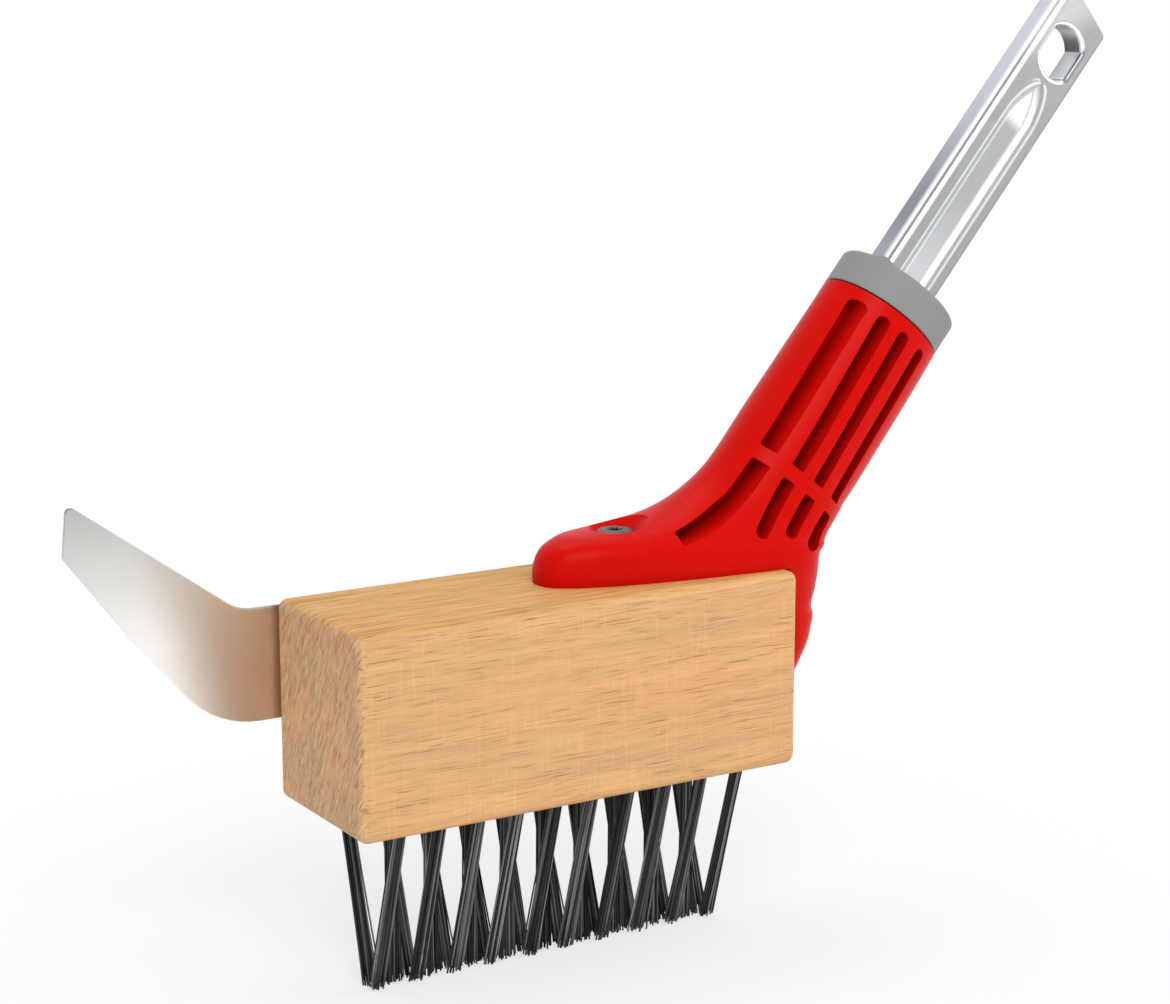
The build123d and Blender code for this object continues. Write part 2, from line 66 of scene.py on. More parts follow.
# lengths below that two places share, in millimetres
COLLAR_HEIGHT = 11.6
TANG_RISE, TANG_FRONT = 0.8, -5.0    # its middle over the neck's axis, and Y of its web's face
HOLE_STOP = 17.3                     # from the lock hole's middle to the tang's end
WIRE_FOOT, WIRE_TIP = 18.3, 1.85     # the outer rows' way from the middle, above and below
GOLDEN_ANGLE = 2.39996
WIRE_SEAT = 5.0                      # of a wire, inside the block
FIRST_SEED = 7
WELD = 4e-5                          # metres, for what a cut leaves


def paint(red, green, blue):
    """Screen colour, 0 to 255, as linear colour."""
    c = np.array((red, green, blue)) / 255
    return tuple(np.where(c < 0.04045, c / 12.92, ((c + 0.055) / 1.055) ** 2.4))


def mm(length):
    """A length of the panel, in metres, in millimetres."""
    return length / MM


# ------------------------------------------------------------------ panel sizes
def length(name, about, millimetres):
    return bpy.props.FloatProperty(name=name, description=about, default=millimetres * MM,
                                   unit="LENGTH", precision=4)


def colour(name, about, red, green, blue):
    return bpy.props.FloatVectorProperty(name=name, description=about, size=3, min=0, max=1,
                                         default=paint(red, green, blue), subtype="COLOR")


def tilt(name, about, radians):
    return bpy.props.FloatProperty(name=name, description=about, default=radians,
                                   subtype="ANGLE")


def level(name, about, value, most):
    return bpy.props.FloatProperty(name=name, description=about, default=value, min=0, max=most)


def group_of(kind, name, about):
    return bpy.props.PointerProperty(type=kind, name=name, description=about)


class BRUSH_PG_wood(bpy.types.PropertyGroup):
    front: colour("Side grain", "Bare beech on the long sides", 222, 175, 124)
    top: colour("Top grain", "Bare beech on the top, cut across the rings", 223, 173, 106)
    # partly painted shade: the end colour is beech's own end-grain tone, made darker as painted
    # shade
    end: colour("End grain", "Bare beech where the fibres end", 207, 168, 128)
    fleck: colour("Fleck", "Short dark rays and pores", 148, 84, 44)
    ring_gap: length("Ring gap", "Distance between two growth rings", 3.4)
    ring_lean: tilt("Ring lean", "Lean of the rings on the end face", -0.46)


class BRUSH_PG_wires(bpy.types.PropertyGroup):
    count: bpy.props.IntProperty(name="Wires per tuft", default=30, min=8, max=80,
                                 description="Wires that leave one hole")
    diameter: length("Wire diameter", "Diameter of one wire", 0.6)
    root: length("Root spread", "Radius of the tuft where it leaves the block", 1.95)
    along: length("Tip spread along", "Radius at the tips, along the block", 2.7)
    across: length("Tip spread across", "Radius at the tips, across the block", 1.25)
    uneven: length("Uneven tips", "Difference between the longest and the shortest wire", 3.4)
    bow: length("Bow", "How far a wire bows out of line", 0.35)
    steel: colour("Wire steel", "Dark tempered wire", 122, 122, 125)


class BRUSH_PG_socket(bpy.types.PropertyGroup):
    neck_angle: tilt("Neck angle", "Neck above the block's top", math.radians(50))
    neck_foot: length("Neck foot", "Where the neck's axis meets the block's top", 65.0)
    neck_height: length("Neck height", "Across the neck, seen from the side", 43.0)
    neck_width: length("Neck width", "Across the neck, seen along the block", 38.0)
    neck_length: length("Neck length", "Along the neck, from the block to the collar", 92.0)
    slot_width: length("Slot width", "Width of the slots in the neck", 4.4)
    soft: length("Soft edge", "Rounding of the moulding's edges", 0.3)
    red: colour("Red moulding", "Satin moulded plastic", 210, 12, 4)
    grey: colour("Grey moulding", "Matt moulded plastic of the collar", 142, 142, 142)


class BRUSH_PG_tang(bpy.types.PropertyGroup):
    width: length("Width", "Across the channel's web", 23.4)
    depth: length("Depth", "Height of the channel's flanges over the web's face", 10.0)
    sheet: length("Sheet", "Thickness of the sheet", 1.5)
    bend: length("Bend", "Outer radius of the bend on the upper side", 3.2)
    tight_bend: length("Tight bend", "Outer radius of the bend on the lower side", 1.7)
    reach: length("Reach", "Beyond the collar, in the middle", 111.7)
    groove_width: length("Groove width", "Width of the pressed groove at its rim", 13.2)
    groove_depth: length("Groove depth", "Depth of the pressed groove", 1.6)
    hole: length("Lock hole", "Radius of the hole for the handle's latch", 10.1)
    hole_flat: length("Hole flats", "From the hole's middle to its two flats", 8.4)
    zinc: colour("Zinc", "Bright zinc on the tang", 252, 254, 255)


class BRUSH_PG_blade(bpy.types.PropertyGroup):
    sheet: length("Sheet", "Thickness of the blade", 1.8)
    bevel: length("Broken edge", "Rounding of the blade's edges", 0.3)
    steel: colour("Blade steel", "Ground steel of the blade", 255, 254, 252)


class BRUSH_PG_screws(bpy.types.PropertyGroup):
    head: length("Head diameter", "Diameter of the two large screw heads", 12.0)
    height: length("Head height", "Height of the two large screw heads", 2.6)
    small_head: length("Small head diameter", "Diameter of the blade's screw heads", 9.0)
    small_height: length("Small head height", "Height of the blade's screw heads", 2.8)
    steel: colour("Screw steel", "Dark plated screws", 92, 88, 86)


class BRUSH_PG_stage(bpy.types.PropertyGroup):
    floor: colour("Floor", "Pale floor", 253, 253, 253)
    sky: level("World light", "Strength of the even light from all round", 0.5, 2)
    key: level("Lamps", "Share of the three lamps' power", 0.86, 20)
    lens: bpy.props.FloatProperty(name="Lens", default=83.08, unit="CAMERA",
                                  description="Focal length of the camera")


class BRUSH_PG_head(bpy.types.PropertyGroup):
    wood: group_of(BRUSH_PG_wood, "Wood", "Wooden block")
    wires: group_of(BRUSH_PG_wires, "Wires", "Wire tufts")
    socket: group_of(BRUSH_PG_socket, "Socket", "Moulded handle socket and collar")
    tang: group_of(BRUSH_PG_tang, "Tang", "Sheet steel tang")
    blade: group_of(BRUSH_PG_blade, "Blade", "Scraper blade")
    screws: group_of(BRUSH_PG_screws, "Screws", "Screws")
    stage: group_of(BRUSH_PG_stage, "Stage", "Floor, lamps and camera")


# ------------------------------------------------------------------ meshes
def grid_quads(rows, columns, close_rows=False, close_columns=False):
    """Quads between neighbours of a grid whose vertices count along the columns first."""
    i = np.arange(rows if close_rows else rows - 1)[:, None]
    j = np.arange(columns if close_columns else columns - 1)[None, :]
    a = i * columns + j
    b = i * columns + (j + 1) % columns
    c = (i + 1) % rows * columns + (j + 1) % columns
    d = (i + 1) % rows * columns + j
    return np.stack([a, b, c, d], -1).reshape(-1, 4)


def in_scene(name, data):
    """Object for a mesh, a lamp or a camera, in the scene."""
    thing = bpy.data.objects.new(name, data)
    bpy.context.scene.collection.objects.link(thing)
    return thing


def new_object(name, points, *faces):
    """Object from points in millimetres and arrays of faces, each with one corner count."""
    mesh = bpy.data.meshes.new(name)
    corners = np.concatenate([f.ravel() for f in faces])
    counts = np.concatenate([np.full(len(f), f.shape[1]) for f in faces])
    mesh.vertices.add(points.size // 3)
    mesh.vertices.foreach_set("co", (points * MM).astype(np.float32).ravel())
    mesh.loops.add(len(corners))
    mesh.loops.foreach_set("vertex_index", corners.astype(np.int32))
    mesh.polygons.add(len(counts))
    mesh.polygons.foreach_set("loop_start", (np.cumsum(counts) - counts).astype(np.int32))
    mesh.polygons.foreach_set("loop_total", counts.astype(np.int32))
    mesh.update(calc_edges=True)
    mesh.validate()
    return in_scene(name, mesh)


def capped(name, points):
    """Closed tube from rings of points, with a flat face on its first and last ring."""
    rings, count = points.shape[:2]
    ring = np.arange(count)
    return new_object(name, points, grid_quads(rings, count, close_columns=True),
                      np.stack([ring[::-1], ring + (rings - 1) * count]))


def prism(name, outline, low, high):
    """Closed prism along Y: an outline of 3-D points, moved by low and by high."""
    return capped(name, np.stack([outline + np.array([0, y, 0]) for y in (low, high)]))


def tidy_mesh(thing, merge=1e-6, outward=False):
    """Merges doubles and, on a closed shell, turns all faces outward."""
    work = bmesh.new()
    work.from_mesh(thing.data)
    bmesh.ops.remove_doubles(work, verts=work.verts, dist=merge)
    if outward:
        bmesh.ops.recalc_face_normals(work, faces=work.faces)
    work.to_mesh(thing.data)
    work.free()
    thing.data.update()


def shade(thing, angle):
    """Smooth shading, with edges over an angle in degrees kept sharp."""
    thing.data.shade_smooth()
    thing.data.set_sharp_from_angle(angle=math.radians(angle))


def bevel(thing, width, angle):
    """Small rounding on edges over an angle in degrees, width in millimetres."""
    cut = thing.modifiers.new("edge rounding", "BEVEL")
    cut.width, cut.segments = width * MM, 2
    cut.limit_method, cut.angle_limit = "ANGLE", math.radians(angle)
    cut.harden_normals = True


def apply_modifiers(thing):
    """Replaces the mesh by what its modifiers make of it."""
    bpy.context.view_layer.update()
    held = thing.evaluated_get(bpy.context.evaluated_depsgraph_get())
    mesh = bpy.data.meshes.new_from_object(held)
    thing.modifiers.clear()
    old, thing.data = thing.data, mesh
    bpy.data.meshes.remove(old)


def combine(thing, others, operation):
    """Joins closed shells to a closed shell, or takes them out of it, and removes them."""
    for other in others:
        tidy_mesh(other, outward=True)
        step = thing.modifiers.new(operation.lower(), "BOOLEAN")
        step.operation, step.solver, step.object = operation, "EXACT", other
    apply_modifiers(thing)
    for other in others:
        bpy.data.objects.remove(other)


def finish(thing, material, node):
    """The piece gets its material, rides on the one body and stands for its CAD node."""
    thing.data.materials.clear()
    thing.data.materials.append(material)
    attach(thing, "root")
    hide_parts(node)


def joined(name, parts):
    """One object from several, which go."""
    whole = bmesh.new()
    for part in parts:
        whole.from_mesh(part.data)
        bpy.data.objects.remove(part)
    mesh = bpy.data.meshes.new(name)
    whole.to_mesh(mesh)
    whole.free()
    return in_scene(name, mesh)


def turned(name, profile, segments):
    """Lathe: each profile row is (radius, height, lobe depth); the radius at an angle is
    radius * (1 + depth * cos(6 * angle)). The two end rows have radius 0 and close it."""
    radius, height, lobe = (c[:, None] for c in np.array(profile, float).T)
    angle = 2 * np.pi * np.arange(segments) / segments
    radius = radius * (1 + lobe * np.cos(6 * angle))
    points = np.stack([radius * np.cos(angle), radius * np.sin(angle),
                       np.broadcast_to(height, radius.shape)], -1)
    thing = new_object(name, points, grid_quads(len(profile), segments, close_columns=True))
    tidy_mesh(thing, 1e-7, outward=True)
    return thing


def vertices(thing):
    """The vertices of a mesh in millimetres."""
    points = np.zeros(len(thing.data.vertices) * 3, np.float32)
    thing.data.vertices.foreach_get("co", points)
    return points.reshape(-1, 3) / MM


def place(thing, matrix):
    """Moves the mesh itself by a 4 x 4 matrix in millimetres, and leaves the object alone."""
    points = vertices(thing) @ matrix[:3, :3].T + matrix[:3, 3]
    thing.data.vertices.foreach_set("co", (points * MM).astype(np.float32).ravel())
    thing.data.update()


def per_vertex(thing, name, values):
    """A number at each vertex, which a finish reads."""
    thing.data.attributes.new(name, "FLOAT", "POINT").data.foreach_set(
        "value", values.astype(np.float32))


def around(count):
    """Evenly spaced turns round a circle."""
    return np.linspace(0, 2 * np.pi, count, endpoint=False)


def smooth_step(value, low, high):
    """0 below low, 1 above high, with a soft S between them."""
    t = np.clip((value - low) / (high - low), 0, 1)
    return t * t * (3 - 2 * t)


def humps(value, *rows):
    """Sum of Gaussians of a value, one for each row (where, width, height)."""
    return sum(height * np.exp(-((value - where) / width) ** 2) for where, width, height in rows)


def through(rows, spacing):
    """Cubic curve through rows of numbers, sampled at about one spacing. The slope at a
    row is the mean of its two neighbour slopes, each weighted by the other gap's length."""
    rows = np.asarray(rows, float)
    gap = np.linalg.norm(np.diff(rows, axis=0), axis=1)[:, None] + 1e-9
    slope = np.diff(rows, axis=0) / gap
    inner = (slope[:-1] * gap[1:] + slope[1:] * gap[:-1]) / (gap[:-1] + gap[1:])
    slopes = np.concatenate([slope[:1], inner, slope[-1:]])
    parts = []
    for a, b, m, n, h in zip(rows, rows[1:], slopes, slopes[1:], gap[:, 0]):
        t = np.linspace(0, 1, max(2, math.ceil(h / spacing)), endpoint=False)[:, None]
        parts.append((2 * t ** 3 - 3 * t ** 2 + 1) * a + (t ** 3 - 2 * t ** 2 + t) * h * m
                     + (3 * t ** 2 - 2 * t ** 3) * b + (t ** 3 - t ** 2) * h * n)
    return np.concatenate([*parts, rows[-1:]])


# ------------------------------------------------------------------ shaders
def maths(operation, reflected=False):
    """Method that adds a Math node, with its operands the other way round if reflected."""
    def method(self, *others):
        values = (*others, self) if reflected else (self, *others)
        return self.shader.node("Math", {"operation": operation}, dict(enumerate(values)))
    return method


class Value:
    """A shader socket. Python's operators on it add Math nodes."""
    __add__ = __radd__ = maths("ADD")
    __sub__, __rsub__ = maths("SUBTRACT"), maths("SUBTRACT", reflected=True)
    __mul__ = __rmul__ = maths("MULTIPLY")
    __pow__ = maths("POWER")
    sine, size = maths("SINE"), maths("ABSOLUTE")
    least, most = maths("MINIMUM"), maths("MAXIMUM")

    def __init__(self, shader, socket):
        self.shader, self.socket = shader, socket


def vary(middle, *patterns):
    """A number that patterns move up and down, each by its amount over its whole range."""
    return sum(((pattern - 0.5) * amount for pattern, amount in patterns), middle)


class Nodes:
    """The nodes of a material or a world, which one method makes."""

    def __init__(self, owner):
        owner.use_nodes = True
        self.tree = owner.node_tree
        self.tree.nodes.clear()

    def node(self, kind, settings=None, inputs=None, out=0):
        """Any shader node: its settings first, then the values or links of its sockets."""
        made = self.tree.nodes.new("ShaderNode" + kind)
        for key, value in (settings or {}).items():
            setattr(made, key, value)
        for key, value in (inputs or {}).items():
            socket = made.inputs[key]
            if isinstance(value, Value):
                self.tree.links.new(value.socket, socket)
            else:
                socket.default_value = (*value[:3], 1) if socket.type == "RGBA" else value
        return Value(self, made.outputs[out]) if made.outputs else None

    def straight_rays(self):
        """1 for what the camera, a reflection or glass shows."""
        rays = self.node("LightPath").socket.node.outputs
        camera, glossy, glass = (Value(self, rays[f"Is {kind} Ray"])
                                 for kind in ("Camera", "Glossy", "Transmission"))
        return camera.most(glossy).most(glass)


class Finish(Nodes):
    """One material, with the patterns and mixes that its finish is written in."""

    def __init__(self, name):
        self.material = bpy.data.materials.new(name)
        super().__init__(self.material)
        self.place = self.node("TexCoord", out="Object")
        self.facing = self.node("NewGeometry", out="Normal")

    def mix(self, share, one, two, blend="MIX"):
        """Colour between one and two."""
        return self.node("Mix", {"data_type": "RGBA", "blend_type": blend},
                         {0: share, 6: one, 7: two}, 2)

    def tint(self, colour_of, share):
        """Colour times a value."""
        grey = self.node("CombineColor", None, {0: share, 1: share, 2: share})
        return self.mix(1.0, colour_of, grey, "MULTIPLY")

    def stretch(self, vector, x, y, z):
        return self.node("VectorMath", {"operation": "MULTIPLY"},
                         {0: vector, 1: (x, y, z)})

    def shift(self, vector, other):
        return self.node("VectorMath", {"operation": "ADD"}, {0: vector, 1: other})

    def turn(self, vector, x, y, z):
        return self.node("Mapping", None, {"Vector": vector, "Rotation": (x, y, z)})

    def parts(self, vector):
        made = self.node("SeparateXYZ", None, {0: vector})
        return [Value(self, s) for s in made.socket.node.outputs]

    def noise(self, vector, scale, detail=2.0, rough=0.5):
        """Noise at one scale, or drawn out by three along X, Y and Z."""
        if isinstance(scale, tuple):
            vector, scale = self.stretch(vector, *scale), 1.0
        return self.node("TexNoise", None, {"Vector": vector, "Scale": scale,
                                                      "Detail": detail, "Roughness": rough})

    def streaks(self, vector, scale, low, high, detail=2.0, rough=0.5):
        """Separate marks: noise, eased from nothing at low to all at high."""
        return self.ease(self.noise(vector, scale, detail, rough), low, high)

    def cells(self, scale, out="Distance"):
        return self.node("TexVoronoi", None, {"Vector": self.place, "Scale": scale},
                         out)

    def from_mesh(self, name):
        """A number that the mesh has at each vertex."""
        return self.node("Attribute", {"attribute_name": name}, None, "Fac")

    def ease(self, value, low, high, start=0.0, end=1.0):
        """Smooth step of a value between low and high."""
        return self.node("MapRange", {"interpolation_type": "SMOOTHSTEP"},
                         {0: value, 1: low, 2: high, 3: start, 4: end})

    def surface(self, colour_of, rough, relief, **sockets):
        """The material, with a Principled surface. The relief is a height, its strength and
        its depth in metres; other sockets are named with _ for a space."""
        bump = self.node("Bump", None, dict(zip(("Height", "Strength", "Distance"), relief)))
        named = {key.replace("_", " "): value for key, value in sockets.items()}
        return self.output(self.node("BsdfPrincipled", None, {
            "Base Color": colour_of, "Roughness": rough, "Normal": bump, **named}))

    def output(self, shader):
        self.node("OutputMaterial", None, {"Surface": shader})
        return self.material


def beech(look):
    """Bare planed beech: fibres along X, rings leaning on the end face, and short rays."""
    f = Finish("bare beech")
    x, y, z = f.parts(f.facing)
    on_end = f.ease(x.size(), 0.55, 0.85)
    on_top = f.ease(z.size(), 0.55, 0.85)
    side = 1.0 - on_end.most(on_top)
    arris = f.ease(x.size() * y.size(), 0.16, 0.4)
    # the fibres wander a little up and down, and so does all that follows them
    sway = f.noise(f.place, (22, 30, 70)) - 0.5
    p = f.shift(f.place, f.node("CombineXYZ", None,
                                {1: sway * 0.0016, 2: sway * 0.0034}))
    leaned = f.turn(f.place, look.ring_lean, 0, 0)
    wander = f.noise(leaned, (9, 90, 18), 3) - 0.5
    ring = (f.parts(leaned)[1] * (2 * math.pi / look.ring_gap) + wander * 9).sine()
    ring = f.ease(ring, -0.2, 1.0)
    patch = f.noise(p, (13, 46, 38), 3, 0.6)
    blush = f.noise(f.shift(f.stretch(p, 17, 70, 62), (4.0, 9.0, 2.0)), 1, 2, 0.6)
    fibre = f.noise(p, (45, 1300, 1500), 4, 0.65)
    band = f.noise(p, (9, 420, 380), 3, 0.6)
    # fine dark lines, short and broken, and a few stronger ones on the side. The numbers
    # are the scale along X, Y and Z, where a line starts and is full, detail and roughness
    thin = f.streaks(p, (88, 800, 3100), 0.56, 0.66, 2.5, 0.6)
    bold = f.streaks(p, (66, 600, 2300), 0.61, 0.68, 2, 0.55)
    where = f.streaks(p, (25, 60, 90), 0.4, 0.62)
    hatch = f.streaks(f.place, (1250, 90, 70), 0.54, 0.7, 2, 0.6)
    top_line = f.streaks(p, (52, 2100, 500), 0.5, 0.62, 3, 0.65)
    top_band = f.streaks(p, (8, 260, 90), 0.4, 0.62)
    dash = f.streaks(leaned, (210, 2500, 190), 0.52, 0.62, 2, 0.6)
    long_dash = f.streaks(leaned, (120, 1500, 90), 0.55, 0.68, 2, 0.6)
    light_dash = f.streaks(f.shift(f.stretch(leaned, 210, 2300, 170), (3.0, 7.0, 5.0)), 1,
                           0.56, 0.7, 2, 0.6)
    tick = f.streaks(leaned, (300, 500, 520), 0.6, 0.7)
    # the end faces' colour is partly painted shade
    colour_of = f.mix(on_top, f.mix(on_end, look.front, look.end), look.top)
    colour_of = f.mix(f.ease(patch, 0.44, 0.66) * 0.5, colour_of, paint(226, 168, 118))
    colour_of = f.mix(f.ease(blush, 0.5, 0.72) * 0.45 * (1.0 - on_end), colour_of,
                      paint(226, 186, 116))
    colour_of = f.tint(colour_of, vary(1.0, (patch, 0.24), (band, 0.3), (fibre, 0.4)))
    colour_of = f.tint(colour_of, 1.0 - ring * (0.02 + on_end * 0.05 + on_top * 0.02)
                       - top_band * on_top * 0.09)
    mark = (side * (thin * 0.3 + bold * where * 0.6) + on_end * (dash * 0.55 + long_dash * 0.36)
            + on_top * top_line * 0.58 + arris * tick * 0.45)
    colour_of = f.mix(mark.least(0.75), colour_of, look.fleck)
    colour_of = f.mix(light_dash * on_end * 0.65, colour_of, paint(240, 204, 158))
    colour_of = f.tint(colour_of, 1.0 + side * (hatch - 0.4) * 0.07 + arris * 0.05)
    height = fibre * 0.4 - mark * 0.8 + hatch * side * 0.1
    rough = vary(0.58, (fibre, 0.2)) + mark * 0.1
    return f.surface(colour_of, rough, (height, 0.45, 0.0001), Specular_IOR_Level=0.2)


def wire_steel(look):
    """Dark tempered wire: each wire has its own tone, drawn lines run along it."""
    f = Finish("dark wire")
    specks = f.noise(f.place, (1500, 1500, 260), 2, 0.6)
    stain = f.noise(f.place, 90, 3)
    colour_of = f.tint(look.steel, f.from_mesh("tone") * (0.75 + stain * 0.5))
    return f.surface(colour_of, 0.36 + specks * 0.24, (specks, 0.35, 0.00006), Metallic=0.7)


def moulding(name, base, gloss, grain, shine, fade):
    """Moulded plastic: fine spark-eroded grain, faint flow marks and handling dust, and painted
    shade: darker in recesses, where an ambient occlusion node darkens the colour."""
    f = Finish(name)
    flow = f.noise(f.place, 26, 4, 0.55)
    fine = f.noise(f.place, 2600, 2, 0.6)
    pores = f.cells(1500)
    scuff = f.streaks(f.turn(f.place, 0.2, 0.87, 0.1), (900, 60, 60), 0.62, 0.8, 3, 0.65)
    painted_shade_ao = f.node("AmbientOcclusion", {"samples": 6}, {"Distance": 0.008}, "AO")
    colour_of = f.tint(base, vary(1.0, (flow, 0.12), (fine, 0.08)))
    colour_of = f.mix(scuff * fade, colour_of, paint(235, 190, 184))
    # painted shade: the colour darkens where the ambient occlusion node finds the surface closed
    # in, in slots, recesses and seams
    colour_of = f.tint(colour_of, f.ease(painted_shade_ao, 0.05, 0.8, 0.5, 1.0))
    rough = vary(gloss, (flow, 0.1), (fine, 0.12)) + scuff * 0.1
    height = fine * 0.6 + pores * 0.5
    return f.surface(colour_of, rough, (height, grain, 0.00008), Specular_IOR_Level=shine)


def plated(name, base, gloss, lean, spangle, drawn, takes_painted_reflections=False):
    """Bright sheet metal: rolling lines along one direction, faint spangle and wipes. One that
    takes painted reflections reads from the mesh how bright it is painted, with painted
    highlights and dark reflection lines, and where it is painted blue as a reflection."""
    f = Finish(name)
    along = f.turn(f.place, *lean)
    lines = f.noise(along, (25, 2200, 1500), 3, 0.6)
    bands = f.noise(along, (6, 260, 180))
    crystal = f.node("RGBToBW", None, {0: f.cells(170, "Color")})
    smear = f.noise(f.place, 45, 4, 0.6)
    colour_of = base
    if takes_painted_reflections:
        # painted reflections: the zinc's colour is scaled by painted highlights and dark
        # reflection lines read from the mesh, and tinted blue where that is painted
        painted_sheen = f.from_mesh("painted_sheen")
        colour_of = f.mix(f.from_mesh("painted_blue_tint"), f.tint(base, painted_sheen),
                          f.tint(paint(240, 243, 255), painted_sheen))
    colour_of = f.tint(colour_of, vary(1.0, (lines, drawn), (bands, drawn),
                                       (crystal, spangle), (smear, 0.1)))
    rough = vary(gloss, (lines, 0.16), (smear, 0.14), (crystal, spangle))
    return f.surface(colour_of, rough, (lines, 0.3, 0.00004), Metallic=1.0)


def ground_steel(look, hot):
    """Ground blade steel: fine grinding lines across it. Painted reflection: its front is
    painted warm toward the block, standing for the block's end mirrored in it, the hook is
    painted greyer toward its upper edge, and the back is painted greyer than the front. Painted
    shade darkens the top edges and a line by the block."""
    f = Finish("ground steel")
    x, _, z = f.parts(f.place)
    # metres along the hook, and a little more higher up; the block's end is at hot
    out = x + (z - 0.11) * 0.3
    near = f.ease(out, hot - 0.043, hot - 0.014)
    painted_haze = f.ease(out, hot - 0.04, hot - 0.025) * f.ease(out, hot - 0.01, hot - 0.024)
    front = f.ease(f.parts(f.facing)[1], 0.2, -0.2)
    lines = f.noise(f.turn(f.place, 0, 0.5, 0), (1800, 900, 40), 3, 0.6)
    smear = f.noise(f.place, 32, 4, 0.6)
    # painted reflection: the face toward the front (-Y) gets the bright steel, and the back gets
    # a greyer copy of it
    colour_of = f.mix(front, paint(205, 205, 207), look.steel)
    # painted reflection: the front is painted warm near the block, standing for the block's end
    # mirrored in the steel
    colour_of = f.mix(near * front * 0.85, colour_of, paint(218, 196, 172))
    # painted reflection: the hook is painted greyer toward its upper edge, and a band of painted
    # haze darkens the front
    colour_of = f.tint(colour_of, 1.0 - ((z - 0.1055) * 11.3).most(0.0) * (1.0 - near)
                       - painted_haze * front * 0.13)
    # painted shade: faces turned upward, the blade's top edges, are painted darker
    edge = f.ease(f.parts(f.facing)[2], 0.12, 0.5)
    # painted shadow: a dark line on the front, where the blade meets the block's end
    painted_contact_shade = f.ease(x, hot - 0.0022, hot, 0.0, 0.3) * front
    colour_of = f.tint(colour_of, 1.0 - edge * 0.5 - painted_contact_shade)
    colour_of = f.tint(colour_of, vary(1.0, (lines, 0.05), (smear, 0.06)))
    rough = vary(0.36, (lines, 0.1), (smear, 0.1))
    return f.surface(colour_of, rough, (lines, 0.12, 0.00003), Metallic=1.0)


# ------------------------------------------------------------------ pieces
def sizes():
    return bpy.context.scene.brush_head


class Neck:
    """The neck's sizes and directions: s along it, n across it to its upper side, and y."""

    def __init__(self, look):
        self.angle = look.neck_angle
        self.half_height, self.half_width = mm(look.neck_height) / 2, mm(look.neck_width) / 2
        self.seam = mm(look.neck_length)
        self.foot = np.array([mm(look.neck_foot), 0, BLOCK_TOP])
        self.along = np.array([math.cos(self.angle), 0, math.sin(self.angle)])
        self.across = np.array([-math.sin(self.angle), 0, math.cos(self.angle)])

    def point(self, s, n, y=0.0):
        s, n, y = np.broadcast_arrays(*(np.asarray(v, float) for v in (s, n, y)))
        return (self.foot + s[..., None] * self.along + n[..., None] * self.across
                + y[..., None] * np.array([0, 1.0, 0]))


def tuft_places():
    """Name, foot and tip of each tuft, in millimetres, read from the CAD nodes' boxes."""
    for row, count, side in (("front", 10, -1), ("middle", 9, 0), ("back", 10, 1)):
        for number in range(1, count + 1):
            name = f"{row}_tuft_{number:02d}"
            low, high = cad_box(name)
            middle = (low[0] + high[0]) / 2
            yield (name, np.array([middle, side * WIRE_FOOT]),
                   np.array([middle, side * WIRE_TIP]))


def wire_bundle(name, foot, tip, look, seed):
    """Bundle of bent round wires, each k at share sqrt((k + 0.5) / count) of the tuft's
    radius and k golden angles round it. The radius grows downward to the tips' oval, by the
    power 1.5 along the block and evenly across it, and a wire bows out by half a sine
    wave. A ring of the tube is the wire's radius times (cos, sin) in the plane across Z."""
    rng = np.random.default_rng(seed)
    count, stations, sides = look.count, 9, 6
    k = np.arange(count)
    share = np.sqrt((k + 0.5) / count)
    turn = GOLDEN_ANGLE * k + seed
    t = np.linspace(0, 1, stations)[None, :]
    lift = mm(look.uneven) * rng.random(count) ** 1.6 + 0.05
    start, end = BLOCK_BOTTOM + WIRE_SEAT, lift[:, None]
    lean = (foot - tip) / BLOCK_BOTTOM
    z = start + (end - start) * t
    fall = np.clip((BLOCK_BOTTOM - z) / BLOCK_BOTTOM, 0, 1)
    wide = mm(look.root) + (mm(look.along) - mm(look.root)) * fall ** 1.5
    deep = mm(look.root) + (mm(look.across) - mm(look.root)) * fall
    # about one wire in seven strays outward, and each has a small kink and bow of its own
    stray = 1 + 0.45 * (rng.random(count) > 0.85)[:, None] * fall ** 2
    jolt = (rng.random((2, count, 1)) - 0.5) * 0.5 * fall
    bow = mm(look.bow) * np.sin(np.pi * fall) * (rng.random((count, 1)) - 0.5) * 2
    swing = rng.random((count, 1)) * 2 * np.pi
    x = (tip[0] + lean[0] * z + wide * stray * (share * np.cos(turn))[:, None]
         + bow * np.cos(swing) + jolt[0])
    y = (tip[1] + lean[1] * z + deep * (share * np.sin(turn))[:, None]
         + bow * np.sin(swing) * 0.5 + jolt[1] * 0.5)
    ring = 2 * np.pi * np.arange(sides) / sides
    radius = mm(look.diameter) / 2 * (1 + 0.12 * (rng.random((count, 1, 1)) - 0.5))
    points = np.stack([x[..., None] + radius * np.cos(ring),
                       y[..., None] + radius * np.sin(ring),
                       np.broadcast_to(z[..., None], (*z.shape, sides))], -1)
    first = (np.arange(count) * stations * sides)[:, None, None]
    tubes = (grid_quads(stations, sides, close_columns=True)[None] + first).reshape(-1, 4)
    caps = np.concatenate([first[:, 0] + np.arange(sides),
                           first[:, 0] + (stations - 1) * sides + np.arange(sides)[::-1]])
    thing = new_object(name, points, tubes[:, ::-1], caps[:, ::-1])
    # most wires are dark, and all are darker at the tip
    tone = (0.12 + 1.5 * rng.random(count) ** 2.6)[:, None] * (1 - 0.5 * (t > 0.99))
    per_vertex(thing, "tone", np.repeat(tone.ravel(), sides))
    shade(thing, 50)
    return thing


